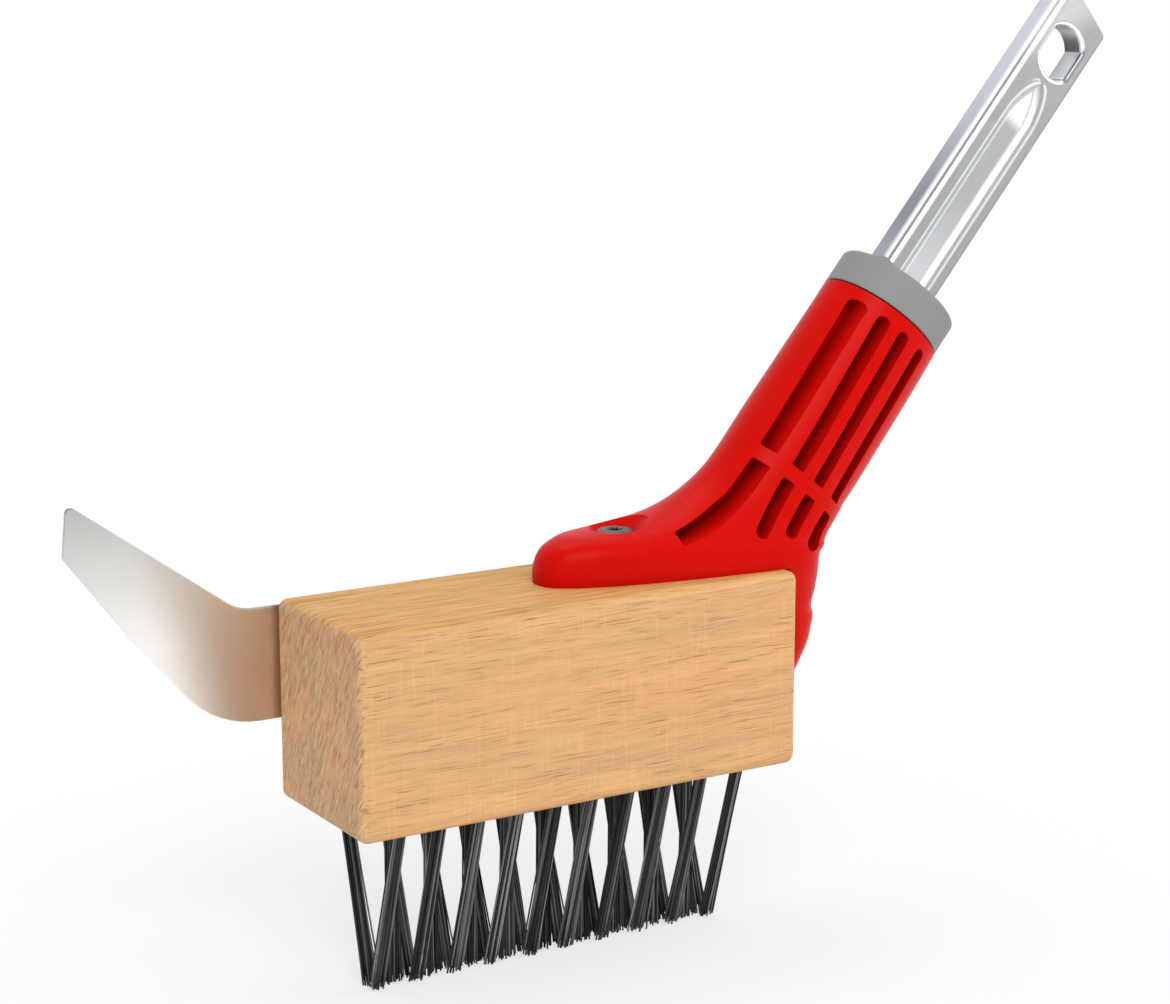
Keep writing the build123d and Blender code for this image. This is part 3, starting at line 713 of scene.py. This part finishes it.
class BRUSH_OT_tufts(bpy.types.Operator):
    """Dark wire tufts, one piece for each hole, leaning together to one narrow line"""
    bl_idname = "brush.tufts"
    bl_label = "Wire tufts"

    def execute(self, context):
        look = sizes().wires
        steel = wire_steel(look)
        for seed, (name, foot, tip) in enumerate(tuft_places(), FIRST_SEED):
            thing = wire_bundle(name.replace("tuft", "wires"), foot, tip, look, seed)
            finish(thing, steel, name)
        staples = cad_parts["tuft_staples"].data
        staples.materials.clear()
        staples.materials.append(plated("staple wire", paint(150, 150, 152), 0.35, (0, 0, 0),
                                        0.05, 0.2))
        return {"FINISHED"}


class BRUSH_OT_block(bpy.types.Operator):
    """Wooden block of bare beech with rounded edges and slanting tuft holes"""
    bl_idname = "brush.block"
    bl_label = "Wooden block"

    def execute(self, context):
        thing = in_scene("beech_block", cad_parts["wood_block"].data.copy())
        tidy_mesh(thing)
        shade(thing, 40)
        even = thing.modifiers.new("face normals", "WEIGHTED_NORMAL")
        even.keep_sharp, even.weight = True, 100
        finish(thing, beech(sizes().wood), "wood_block")
        return {"FINISHED"}


def socket_rings(neck):
    """Rows for the loft: the foot's tilting rings, then the neck's oval ones. A row is
    (front x, front z, back x, back z, half width, widest share, front power, back power),
    with heights above the block's top. The foot's crest is a quarter oval at the nose, a
    straight slope and an arc of one radius that meets the neck's upper side."""
    slope, steep, radius = math.radians(6.1), neck.angle, 55.8
    nose, wall, top_height, over = -2.0, 4.8, 14.2, 16.0
    top = np.array([nose + over, top_height])
    start = neck.point(0, neck.half_height)
    neck_top = np.array([start[0], start[2] - BLOCK_TOP])
    run = (((neck_top[1] - top[1]) - math.tan(steep) * (neck_top[0] - top[0]))
           / (math.tan(slope) - math.tan(steep)))
    corner = top + run * np.array([1, math.tan(slope)])
    reach = radius * math.tan((steep - slope) / 2)
    begin = corner - reach * np.array([math.cos(slope), math.sin(slope)])
    centre = begin + radius * np.array([-math.sin(slope), math.cos(slope)])
    crest = [(nose, 0), (nose, wall)]
    crest += [(nose + over * (1 - math.cos(a)), wall + (top_height - wall) * math.sin(a))
              for a in (math.radians(30), math.radians(60))]
    crest += [tuple(top + (begin - top) * k / 5) for k in range(5)]
    crest += [(centre[0] + radius * math.sin(a), centre[1] - radius * math.cos(a))
              for a in (slope + (steep - slope) * k / 5 for k in range(5))]
    # height of each ring's heel, how much it bulges there, and the heel's profile (z, x)
    heel_z = (0, 1, 1.8, 2.6, 3.4, 3.9, 4.4, 4.8, 5.2, 5.6, 6.9, 8.3, 10, 12)
    bulges = (1, 1, 0.98, 0.95, 0.91, 0.85, 0.79, 0.73, 0.68, 0.62, 0.46, 0.32, 0.2, 0.1)
    heel = np.array(((0, 94.2), (2.3, 94.8), (4.8, 96.4), (7, 99.4), (9, 102.1), (16, 109.3)))
    rows = []
    for (fx, fz), z, bulge in zip(crest, heel_z, bulges):
        rows.append((fx, fz, np.interp(z, *heel.T), z, neck.half_width + 3.3 * bulge,
                     0.54 + 0.26 * min(1, 1.25 * bulge), 2 - 0.68 * bulge, 2 + 0.5 * bulge))
    # places on the neck's upper and lower side, and how far the lower one flares
    last = neck.seam - 0.35
    for upper, lower, flare in ((28.4, 36.8, 2), (35, 39, 2.2), (42, 42, 2.4), (60, 60, 1.8),
                                (80, 80, 1), (last, last, 0.2)):
        front = neck.point(upper, neck.half_height)
        back = neck.point(lower, -neck.half_height - flare)
        widest = neck.half_height / (2 * neck.half_height + flare) + 0.0045 * (lower - upper)
        rows.append((front[0], front[2] - BLOCK_TOP, back[0], back[2] - BLOCK_TOP,
                     neck.half_width, widest, 2, 2))
    return np.array(rows, float)


def socket_shell(neck):
    """Loft through the rings. In one ring, at turn v, the share of the way back is
    widest * (1 - |cos v| ** (2 / power)) before the widest place and the same mirrored
    behind it, and the half width is half * |sin v| ** (2 / power)."""
    v = around(160)[None, :]
    rings = through(socket_rings(neck), 1.1)
    fx, fz, bx, bz, half, widest, front_power, back_power = (c[:, None] for c in rings.T)
    ahead = np.cos(v) >= 0
    away = np.abs(np.cos(v)) ** np.where(ahead, 2 / front_power, 2 / back_power)
    share = np.where(ahead, widest * (1 - away), widest + (1 - widest) * away)
    y = half * np.sign(np.sin(v)) * np.abs(np.sin(v)) ** (2 / back_power)
    x, z = fx + (bx - fx) * share, fz + (bz - fz) * share + BLOCK_TOP
    return capped("socket_moulding", np.stack([x, y, z], -1))


def socket_tail():
    """Tongue down the block's end: at turn v its thickness is thick * sin v ** 0.8 and
    its half width half * cos v ** 0.8, with both sizes from rows down the drop."""
    rows = through(((-1, 19.5, 22.1), (2, 19.6, 21.6), (9, 19, 20.4), (15.2, 17.4, 20),
                    (15.9, 17.4, 20), (17.4, 18.2, 20), (21.7, 17.5, 20), (26, 16.4, 19.6),
                    (31, 13.8, 18.6), (35, 11.9, 17.2), (39, 8.3, 14.4), (41.8, 3, 8)), 0.9)
    v = np.linspace(0, np.pi, 72)[None, :]
    drop, thick, half = (c[:, None] for c in rows.T)
    x = BLOCK_END + thick * np.abs(np.sin(v)) ** 0.8
    y = half * np.sign(np.cos(v)) * np.abs(np.cos(v)) ** 0.8
    z = BLOCK_TOP - drop + 0 * v
    return capped("socket tail", np.stack([x, y, z], -1))


def rounded(corners, radii):
    """Outline through corners with arcs: each arc's centre lies on the corner's bisector,
    and its points run between the two places where it touches the sides. A corner of
    radius 0 stays a point."""
    corners = np.asarray(corners, float)
    points = []
    for before, corner, after, radius in zip(np.roll(corners, 1, 0), corners,
                                             np.roll(corners, -1, 0), radii):
        if not radius:
            points.append(corner[None])
            continue
        u = (before - corner) / np.linalg.norm(before - corner)
        w = (after - corner) / np.linalg.norm(after - corner)
        half = math.acos(np.clip(np.dot(u, w), -1, 1)) / 2
        reach = radius / math.tan(half)
        centre = corner + (u + w) / np.linalg.norm(u + w) * radius / math.sin(half)
        a, b = corner + u * reach - centre, corner + w * reach - centre
        angle = math.atan2(a[0] * b[1] - a[1] * b[0], np.dot(a, b))
        turn = np.linspace(0, angle, 9)[:, None]
        points.append(centre + a * np.cos(turn) + np.array([-a[1], a[0]]) * np.sin(turn))
    return np.concatenate(points)


def slot_cutters(neck, half):
    """Prisms for the long slots, the short slots and the curved one, on both sides. The
    short ones and the curved one stop at low, and the long ones run from high to top."""
    low, high, top = 28.3, 32.8, neck.seam - 4.0
    square, crown = (0.7, 0.7), (half * 0.96, half * 0.96)
    shapes = []
    # n at a long slot's two ends, its short slot's far end, and how far out the floor is
    for start, end, foot, floor in ((16.3, 17.3, None, 4.5), (7.2, 9.9, (8.0, 6.3), 9.0),
                                    (-1.6, 1.9, (13.7, -2.1), 10.0),
                                    (-11.2, -7.5, (14.9, -10.6), 9.0)):
        shapes.append((rounded([(high, start + half), (high, start - half), (top, end - half),
                                (top, end + half)], square + crown), floor))
        if foot:
            s, n = foot
            shapes.append((rounded([(low, start - half), (low, start + half), (s, n + half),
                                    (s, n - half)], square + crown), floor))
    upper = through(((low - 0.8, 18.3), (20.0, 18.8), (13.9, 19.7), (8.5, 21.5), (3.2, 23.6),
                     (-1.8, 26.2), (-5.6, 28.7)), 1.5)
    lower = through(((-8.2, 25.7), (-3.1, 21.9), (2.0, 18.8), (8.1, 16.4), (14.9, 14.7),
                     (22.4, 13.8), (low - 0.8, 13.6)), 1.5)
    corners = np.concatenate([[(low, 18.3)], upper, [(-6.5, 29.3), (-8.8, 26.2)], lower,
                              [(low, 13.6)]])
    radii = np.zeros(len(corners))
    radii[[0, len(upper) + 1, len(upper) + 2, -1]] = 0.7
    shapes.append((rounded(corners, radii), 4.5))
    return [prism("slot", neck.point(*outline.T), side * floor, side * 40.0)
            for outline, floor in shapes for side in (-1, 1)]


def frame_matrix(origin, up, right):
    """Matrix whose Z is up and X as near to right as it can be."""
    up = np.array(up, float) / np.linalg.norm(up)
    right = np.array(right, float) - np.dot(right, up) * up
    right /= np.linalg.norm(right)
    matrix = np.eye(4)
    matrix[:3, 0], matrix[:3, 1], matrix[:3, 2] = right, np.cross(up, right), up
    matrix[:3, 3] = origin
    return matrix


NOSE_SCREW = frame_matrix((25.5, 0, BLOCK_TOP + 11.5), (0, 0, 1), (1, 0, 0))
END_SCREW = frame_matrix((BLOCK_END + 8.5, 0, BLOCK_TOP - 31.0), (1, 0, 0), (0, 1, 0))


class BRUSH_OT_socket(bpy.types.Operator):
    """Red moulded socket: foot, neck with slots, and the tail down the block's end"""
    bl_idname = "brush.socket"
    bl_label = "Handle socket"

    def execute(self, context):
        look = sizes().socket
        neck = Neck(look)
        thing = socket_shell(neck)
        tidy_mesh(thing, outward=True)
        combine(thing, [socket_tail()], "UNION")
        cutters = slot_cutters(neck, mm(look.slot_width) / 2)
        radius, floor, top = mm(sizes().screws.head) / 2 + 0.6, 1.2, 12
        for matrix, flare in ((NOSE_SCREW, 4.0), (END_SCREW, 1.0)):
            recess = turned("recess", [(0, 0, 0), (radius, 0, 0), (radius, floor, 0),
                                       (radius + flare, floor + flare, 0),
                                       (radius + flare, top, 0), (0, top, 0)], 48)
            place(recess, matrix)
            cutters.append(recess)
        combine(thing, cutters, "DIFFERENCE")
        tidy_mesh(thing, WELD)
        shade(thing, 32)
        bevel(thing, mm(look.soft), 40)
        red = moulding("red moulding", look.red, 0.33, 0.14, 0.06, 0.05)
        finish(thing, red, "handle_socket")
        return {"FINISHED"}


class BRUSH_OT_collar(bpy.types.Operator):
    """Grey collar between the neck and the tang, with a raised rim by the flange"""
    bl_idname = "brush.collar"
    bl_label = "Collar"

    def execute(self, context):
        look = sizes().socket
        neck = Neck(look)
        start, height = neck.seam + 0.1, COLLAR_HEIGHT - 0.1
        middle = neck.half_height - 0.3
        # rows: inset from the oval, and height as a share of the wall plus millimetres
        turn = np.linspace(0, np.pi / 2, 7)
        rows = [(middle, 0, 0.0), (4, 0, 0.0), (0.45, 0, 0.05), (0.18, 0, 0.12),
                (0.02, 0, 0.35), (0, 0, 0.7), (0, 0.35, 0), (0, 0.7, 0)]
        rows += [(1.3 * (1 - math.cos(a)), 1, 1.3 * (math.sin(a) - 1)) for a in turn]
        rows += [(3.0, 1, 0), (3.5, 1, -0.2), (3.7, 1, -0.7), (3.8, 1, -1.8), (4.3, 1, -2.1),
                 (9, 1, -2.1), (middle, 1, -2.1)]
        inset, share, extra = (c[:, None] for c in np.array(rows, float).T)
        v = around(144)[None, :]
        n = (neck.half_height - inset) * np.cos(v)
        y = np.maximum(neck.half_width - inset, 0.01) * np.sin(v)
        ridge = humps(v, (math.radians(328), 0.16, 1.3)) * (inset < 3.6)
        thing = capped("grey_collar", neck.point(start + share * (height + ridge) + extra, n, y))
        tidy_mesh(thing, outward=True)
        shade(thing, 50)
        grey = moulding("grey moulding", look.grey, 0.58, 0.3, 0.3, 0.0)
        finish(thing, grey, "socket_collar")
        return {"FINISHED"}


def slab(name, outer, inner):
    """Closed sheet between two grids of the same size, with its four borders walled."""
    rows, columns = outer.shape[:2]
    count = rows * columns
    points = np.concatenate([outer.reshape(-1, 3), inner.reshape(-1, 3)])
    top = grid_quads(rows, columns)
    index = np.arange(count).reshape(rows, columns)
    border = np.concatenate([index[0], index[1:, -1], index[-1, -2::-1], index[-2:0:-1, 0]])
    after = np.roll(border, -1)
    walls = np.stack([border, border + count, after + count, after], -1)
    thing = new_object(name, points, top, top[:, ::-1] + count, walls)
    tidy_mesh(thing, outward=True)
    return thing


class Channel:
    """The tang's sizes, and the shapes in its web, with s along the neck and n across it."""
    groove_stop, flange_stop = 29.5, 6   # millimetres from the tang's end
    round_edge, rim_depth = 1.4, 8.5     # of the drawn rim of the lock hole

    def __init__(self, look, neck):
        self.neck = neck
        self.half, self.depth, self.sheet = mm(look.width) / 2, mm(look.depth), mm(look.sheet)
        self.bend, self.tight = mm(look.bend), mm(look.tight_bend)
        self.end = neck.seam + COLLAR_HEIGHT + mm(look.reach)
        self.groove, self.groove_depth = mm(look.groove_width) / 2, mm(look.groove_depth)
        self.hole, self.hole_flat = mm(look.hole), mm(look.hole_flat)
        self.middle = self.end - HOLE_STOP

    def path(self):
        """Places n and y on the sheet's middle and its outward normal there: flange, bend,
        web, tight bend, flange, with both bends as quarter circles."""
        turn = np.linspace(0, np.pi / 2, 11)[1:-1]
        web, web_end = self.half - self.bend, self.tight - self.half
        arc, tight_arc = self.bend - self.sheet / 2, self.tight - self.sheet / 2
        flange, one = np.linspace(1, 0, 10), np.ones(10)
        middle = np.linspace(web, web_end, 77)
        n = [one * (self.half - self.sheet / 2), web + arc * np.cos(turn), middle,
             web_end - tight_arc * np.sin(turn), one * (self.sheet / 2 - self.half)]
        y = [self.bend + (self.depth - self.bend) * flange, self.bend - arc * np.sin(turn),
             0 * middle + self.sheet / 2, self.tight - tight_arc * np.cos(turn),
             self.tight + (self.depth - self.tight) * flange[::-1]]
        across = [one, np.cos(turn), 0 * middle, -np.sin(turn), -one]
        ahead = [0 * one, -np.sin(turn), 0 * middle - 1, -np.cos(turn), 0 * one]
        return (np.concatenate(part) for part in (n, y, across, ahead))

    def sheet_sides(self):
        """Outer and inner face: the path, drawn along the neck, half a sheet to each side.
        Beyond `square` the rows lean more and more, up to the slanted end with its two
        round corners, and there the flanges sink into the web."""
        n, y, across, ahead = self.path()
        square, slope = 188.6, math.tan(math.radians(11))
        row = np.concatenate([np.linspace(self.neck.seam - 20, self.neck.seam + 8, 8),
                              np.linspace(self.neck.seam + 10, 165, 60),
                              np.linspace(165.5, 188, 56),
                              np.linspace(square, self.end, 54)])[:, None]
        radius = np.where(n > 0, 2.7, 2.0)
        corner = np.clip(np.abs(n) - (self.half - self.sheet / 2 - radius), 0, radius * 0.96)
        far = self.end + n * slope - (radius - np.sqrt(radius ** 2 - corner ** 2))
        s = np.where(row < square, row,
                     square + (row - square) / (self.end - square) * (far - square))
        stop = self.end - self.flange_stop + n * slope
        keep = 1 - smooth_step(s, stop - 0.5, stop + 0.5)
        y = np.where(y > self.bend, self.bend + (y - self.bend) * keep, y)
        pressed = np.where(np.abs(n) < self.half - self.bend, self.pressed(s, n), 0)
        return [self.neck.point(s, TANG_RISE + n + side * across * self.sheet / 2,
                                TANG_FRONT + y + side * ahead * self.sheet / 2 + pressed)
                for side in (1, -1)]

    def hole_edge(self, inset, y):
        """Outline of the lock hole, drawn in by an inset: (a cos v, a sin v) with its sides
        cut flat."""
        turn = around(96)
        long, flat = self.hole - inset, self.hole_flat - inset
        return self.neck.point(self.middle + long * np.cos(turn),
                               TANG_RISE + np.clip(long * np.sin(turn), -flat, flat), y)

    def hole_rim(self):
        """Drawn rim: a quarter circle from the web's face, then a wall and its back."""
        turn = np.linspace(0, np.pi / 2, 8)
        inset = np.append(self.round_edge * np.sin(turn), (self.round_edge, 0.2, 0.2))
        deep = np.append(self.round_edge * (1 - np.cos(turn)),
                         (self.rim_depth, self.rim_depth, 1.6))
        rim = self.hole_edge(inset[:, None], TANG_FRONT + deep[:, None])
        thing = new_object("drawn rim", rim,
                           grid_quads(*rim.shape[:2], close_rows=True, close_columns=True))
        tidy_mesh(thing, 1e-7, outward=True)
        return thing

    def inside(self, s, n):
        """Millimetres inside the groove's rim, whose free end is a pointed arch: there its
        half width is half * sqrt(1 - t ** 1.5), with t from 0 at the shoulder to 1."""
        tip = self.end - self.groove_stop
        shoulder = tip - self.groove * 2.1
        t = np.clip((s - shoulder) / (tip - shoulder), 0, 1.2)
        arch = self.groove * np.sqrt(np.clip(1 - t ** 1.5, 0, 1))
        return np.where(t >= 1, -3, (arch - np.abs(n)) * (1 - 0.25 * t))

    def pressed(self, s, n):
        """Depth of the pressing: an S from the rim to the floor, with a faint raised lip."""
        inside = self.inside(s, n)
        floor = self.groove_depth * smooth_step(inside, 0, 3.6)
        return floor - humps(inside, (-0.3, 0.6, 0.14))

    def painted_reflection_tones(self, points):
        """Painted reflections: how bright each point is painted, and how blue: a grey web,
        painted light and dark reflection lines down the groove's walls and along the bends, grey
        flanges with a painted highlight by the bend, and the hole's rim painted bright and dark."""
        points = points - self.neck.foot
        s, n = points @ self.neck.along, points @ self.neck.across - TANG_RISE
        y = points[:, 1] - TANG_FRONT
        inside, ahead = self.inside(s, n), s - self.middle
        grey, far = 0.41, smooth_step(s, 125, 178)
        # painted reflection: the groove's floor is painted in lighter and darker bands along its
        # length
        floor = 0.68 - 0.21 * smooth_step(s, 106, 150) + 0.6 * smooth_step(s, 167, 173)
        # painted reflections: light and dark lines down the groove's upper and lower walls
        upper = humps(inside, (0.4, 0.35, 0.52), (1.1, 0.5, 0.45), (2.3, 0.5, 0.45),
                      (3.3, 0.3, 0.45))
        lower = humps(inside, (-0.35, 0.45, 0.5), (2.6, 0.6, 0.42), (0.95, 0.35, -0.08),
                      (1.6, 0.4, 0.08))
        # painted highlights and dark reflection lines along the two bends
        bends = humps(n, (10.35, 0.4, 0.55), (11.2, 0.28, -0.2), (-11.2, 0.3, 0.7),
                      (-10.5, 0.25, -0.1))
        # a painted highlight on the web beside the lock hole
        shine = 0.17 * smooth_step(n + 0.5 * ahead, 0, 12) * smooth_step(ahead, -14, -4)
        tone = (grey + 0.02 * far + np.where(inside > 3.4, floor - grey, 0)
                + np.where(n > 0, upper, lower) + bends + shine)
        # the flanges, painted lighter toward the tang's end and pale by the bend as a painted
        # highlight, and what faces the channel's inner side
        side = 0.3 + 0.34 * far + 0.12 * (1 - smooth_step(s, 108, 124))
        on_side = (np.abs(n) > self.half - 0.2) & (y > 1.4)
        tone = np.where(on_side, side + (0.95 - side) * (1 - smooth_step(y, 3.0, 4.9)), tone)
        hidden = ((np.abs(n) < self.half - self.sheet * 0.6)
                  & (y > self.sheet * 0.6 + self.groove_depth * (inside > 0)))
        tone = np.where(hidden, 0.42, tone)
        # the drawn rim, painted reflection: a bright rounding, then a pale flat wall or a dark
        # curved one
        inset = np.minimum(self.hole - np.hypot(ahead, n), self.hole_flat - np.abs(n))
        on_rim, flat = inset > -0.01, np.abs(n) > self.hole_flat - 1.5
        wall = np.where(flat, 0.62, 0.13 + humps(n, (-0.5, 2.4, 0.3))
                        + 0.16 * smooth_step(n, 3, 6.5)) * np.where(y > 8, 0.7, 1)
        lip = np.where(n < 1.5 - self.hole_flat, -0.12, 0.75) * smooth_step(inset, 0, 0.4)
        tone = np.where(on_rim, np.where(y > 1.3, wall, grey + lip), tone)
        # painted reflection: a bluish tint on the flanges, the groove's floor and the hole's
        # flat walls
        painted_blue_tint = 1.0 * (on_side & (y > 3)) + 0.15 * (inside > 3) + 0.6 * (on_rim & flat)
        return tone, np.clip(painted_blue_tint, 0, 1)


class BRUSH_OT_tang(bpy.types.Operator):
    """Zinc-plated channel with a pressed groove and a lock hole"""
    bl_idname = "brush.tang"
    bl_label = "Tang"

    def execute(self, context):
        look, neck = sizes().tang, Neck(sizes().socket)
        channel = Channel(look, neck)
        web = slab("zinc_web", *channel.sheet_sides())
        hole = prism("lock hole", channel.hole_edge(0.0, 0.0), -9.0, 9.0)
        combine(web, [hole], "DIFFERENCE")
        tidy_mesh(web, WELD)
        thing = joined("zinc_tang", [web, channel.hole_rim()])
        for name, values in zip(("painted_sheen", "painted_blue_tint"), channel.painted_reflection_tones(vertices(thing))):
            per_vertex(thing, name, values)
        shade(thing, 35)
        zinc = plated("bright zinc", look.zinc, 0.3, (0, neck.angle, 0), 0.04, 0.06, True)
        finish(thing, zinc, "tang")
        return {"FINISHED"}


class BRUSH_OT_blade(bpy.types.Operator):
    """Hooked scraper blade of ground sheet steel on the block's far side"""
    bl_idname = "brush.blade"
    bl_label = "Scraper blade"

    def execute(self, context):
        look = sizes().blade
        top, bottom, seat = BLOCK_TOP - 2.5, BLOCK_TOP - 36.7, 64 - BLOCK_END
        # corners along X and Z, and the radius of each
        x, z, arcs = np.transpose([
            (seat, top, 3), (-86.2, top, 14), (-137.8, BLOCK_TOP + 34.8, 1.6),
            (-139.38, BLOCK_TOP + 19.3, 2.6), (-119.9, BLOCK_TOP - 6.6, 80),
            (-94.7, bottom, 30), (seat, bottom, 3)])
        x, z = rounded(np.stack([x, z], -1), arcs).T
        thing = prism("hook_blade", np.stack([x, 0 * x, z], -1), BLOCK_SIDE,
                      BLOCK_SIDE + mm(look.sheet))
        tidy_mesh(thing, outward=True)
        shade(thing, 30)
        bevel(thing, mm(look.bevel), 50)
        finish(thing, ground_steel(look, -BLOCK_END * MM), "scraper_blade")
        return {"FINISHED"}


def screw_head(name, diameter, height, drive, deep):
    """Pan head with a six-lobed recess, as one profile from the shank round to the
    recess's floor. The head's rounding is given as shares of its radius and height."""
    rows = [(0, -6, 0), (1.9, -6, 0), (1.9, -0.2, 0)]
    rows += [(diameter / 2 * out, up, 0) for out, up in ((0.9, 0.0), (0.985, 0.12), (1, 0.4))]
    rows += [(diameter / 2 * out, height * up, 0)
             for out, up in ((1, 0.45), (0.975, 0.62), (0.92, 0.78), (0.8, 0.91), (0.62, 0.98))]
    rows += [(drive * out, height - down, lobe)
             for out, down, lobe in ((1.22, 0, 0), (1.12, 0.02, 0.05), (1, 0.22, 0.13),
                                     (0.96, 0.6, 0.14), (0.92, deep, 0.14),
                                     (0.5, deep + 0.3, 0.05), (0, deep + 0.5, 0))]
    thing = turned(name, rows, 72)
    shade(thing, 45)
    return thing


class BRUSH_OT_screws(bpy.types.Operator):
    """Nose screw, end screw and the three screws of the blade"""
    bl_idname = "brush.screws"
    bl_label = "Screws"

    def execute(self, context):
        look = sizes().screws
        steel = plated("dark plated steel", look.steel, 0.38, (0, 0, 0), 0.06, 0.2)
        for name, node, matrix in (("nose_fixing", "nose_screw", NOSE_SCREW),
                                   ("end_fixing", "end_screw", END_SCREW)):
            thing = screw_head(name, mm(look.head), mm(look.height), 2.4, 1.8)
            place(thing, matrix)
            finish(thing, steel, node)
        parts = []
        for x in (-65.0, -43.0, -21.0):
            parts.append(screw_head("blade screw", mm(look.small_head), mm(look.small_height),
                                    1.9, 1.5))
            place(parts[-1], frame_matrix((x, BLOCK_SIDE + mm(sizes().blade.sheet),
                                           BLOCK_TOP - 19.6), (0, 1, 0), (1, 0, 0)))
        thing = joined("blade_fixings", parts)
        shade(thing, 45)
        finish(thing, steel, "blade_screws")
        return {"FINISHED"}


class BRUSH_OT_stage(bpy.types.Operator):
    """Pale floor that fades to white, soft lamps, world light and camera"""
    bl_idname = "brush.stage"
    bl_label = "Stage"

    def execute(self, context):
        look = sizes().stage
        r = np.append(0, np.geomspace(0.2, 30, 16))[:, None] / MM
        v = around(64)
        points = np.stack([r * np.cos(v), r * np.sin(v), 0 * r * v - 0.02], -1)
        floor = new_object("floor", points, grid_quads(len(r), len(v), close_columns=True))
        tidy_mesh(floor)
        pale = Finish("pale floor")
        x, y, _ = pale.parts(pale.place)
        away = (x * x + y * y) ** 0.5
        mottle = pale.noise(pale.place, 14, 3)
        ground = pale.node("BsdfDiffuse", None,
                           {"Color": pale.tint(look.floor, 0.995 + mottle * 0.01)})
        white = pale.node("Emission", None, {"Color": (1, 1, 1), "Strength": 1.0})
        fade = pale.straight_rays() * pale.ease(away, 0.09, 0.27, 0.6, 1.0)
        floor.data.materials.append(
            pale.output(pale.node("MixShader", None, {0: fade, 1: ground, 2: white})))
        self.lamps(context, look)
        self.camera(context, look)
        return {"FINISHED"}

    def lamps(self, context, look):
        """An even world that is white where it is seen straight, and three lamps."""
        world = context.scene.world = bpy.data.worlds.new("studio")
        studio = Nodes(world)
        bright = studio.node("MapRange", None,
                             {0: studio.straight_rays(), 3: look.sky, 4: 1.0})
        light = studio.node("Background", None,
                            {"Color": (1, 1, 1), "Strength": bright})
        studio.node("OutputWorld", None, {"Surface": light})
        # place and diameter in metres, and watts
        for name, where, size, power in (("key lamp", (-0.55, -1.25, 1.3), 1.1, 17),
                                         ("side lamp", (1.3, -0.7, 0.7), 0.8, 5),
                                         ("top lamp", (0.1, 0.5, 1.6), 1.0, 6)):
            data = bpy.data.lights.new(name, "AREA")
            data.shape, data.size, data.energy = "DISK", size, power * look.key
            in_scene(name, data).matrix_world = aim(where, (0.03, 0, 0.13))

    def camera(self, context, look):
        """The camera that was fitted to the photo."""
        data = bpy.data.cameras.new("camera")
        data.lens, data.sensor_width = look.lens, 36
        data.clip_start, data.clip_end = 0.01, 50
        camera = context.scene.camera = in_scene("camera", data)
        camera.location = (-0.39902, -0.67408, 0.30855)
        camera.rotation_euler = (math.radians(90 - 12.1007), 0, math.radians(-31.549))
        context.scene.view_settings.view_transform = "Standard"


def aim(where, target):
    """Matrix at a place, looking at a target down its own -Z."""
    where, target = mathutils.Vector(where), mathutils.Vector(target)
    turn = (target - where).to_track_quat("-Z", "Y")
    return mathutils.Matrix.Translation(where) @ turn.to_matrix().to_4x4()


class BRUSH_PT_panel(bpy.types.Panel):
    """Buttons for all pieces of the brush head, and their sizes and colours"""
    bl_idname = "BRUSH_PT_panel"
    bl_label = "Brush Head"
    bl_space_type = "VIEW_3D"
    bl_region_type = "UI"
    bl_category = "Brush Head"

    def draw(self, context):
        for maker in MAKERS:
            self.layout.operator(maker.bl_idname)
        for key in BRUSH_PG_head.__annotations__:
            group = getattr(context.scene.brush_head, key)
            box = self.layout.box()
            box.label(text=key.capitalize())
            for name in group.__annotations__:
                box.prop(group, name)


MAKERS = (BRUSH_OT_stage, BRUSH_OT_block, BRUSH_OT_tufts, BRUSH_OT_socket, BRUSH_OT_collar,
          BRUSH_OT_tang, BRUSH_OT_blade, BRUSH_OT_screws)
CLASSES = (BRUSH_PG_wood, BRUSH_PG_wires, BRUSH_PG_socket, BRUSH_PG_tang, BRUSH_PG_blade,
           BRUSH_PG_screws, BRUSH_PG_stage, BRUSH_PG_head, *MAKERS, BRUSH_PT_panel)


def register():
    for each in CLASSES:
        bpy.utils.register_class(each)
    bpy.types.Scene.brush_head = bpy.props.PointerProperty(
        type=BRUSH_PG_head, name="Brush head", description="Sizes and colours of all pieces")


def unregister():
    del bpy.types.Scene.brush_head
    for each in reversed(CLASSES):
        bpy.utils.unregister_class(each)


def main():
    register()
    for maker in MAKERS:
        getattr(bpy.ops.brush, maker.bl_idname.split(".")[1])()


if __name__ == "__main__":
    main()
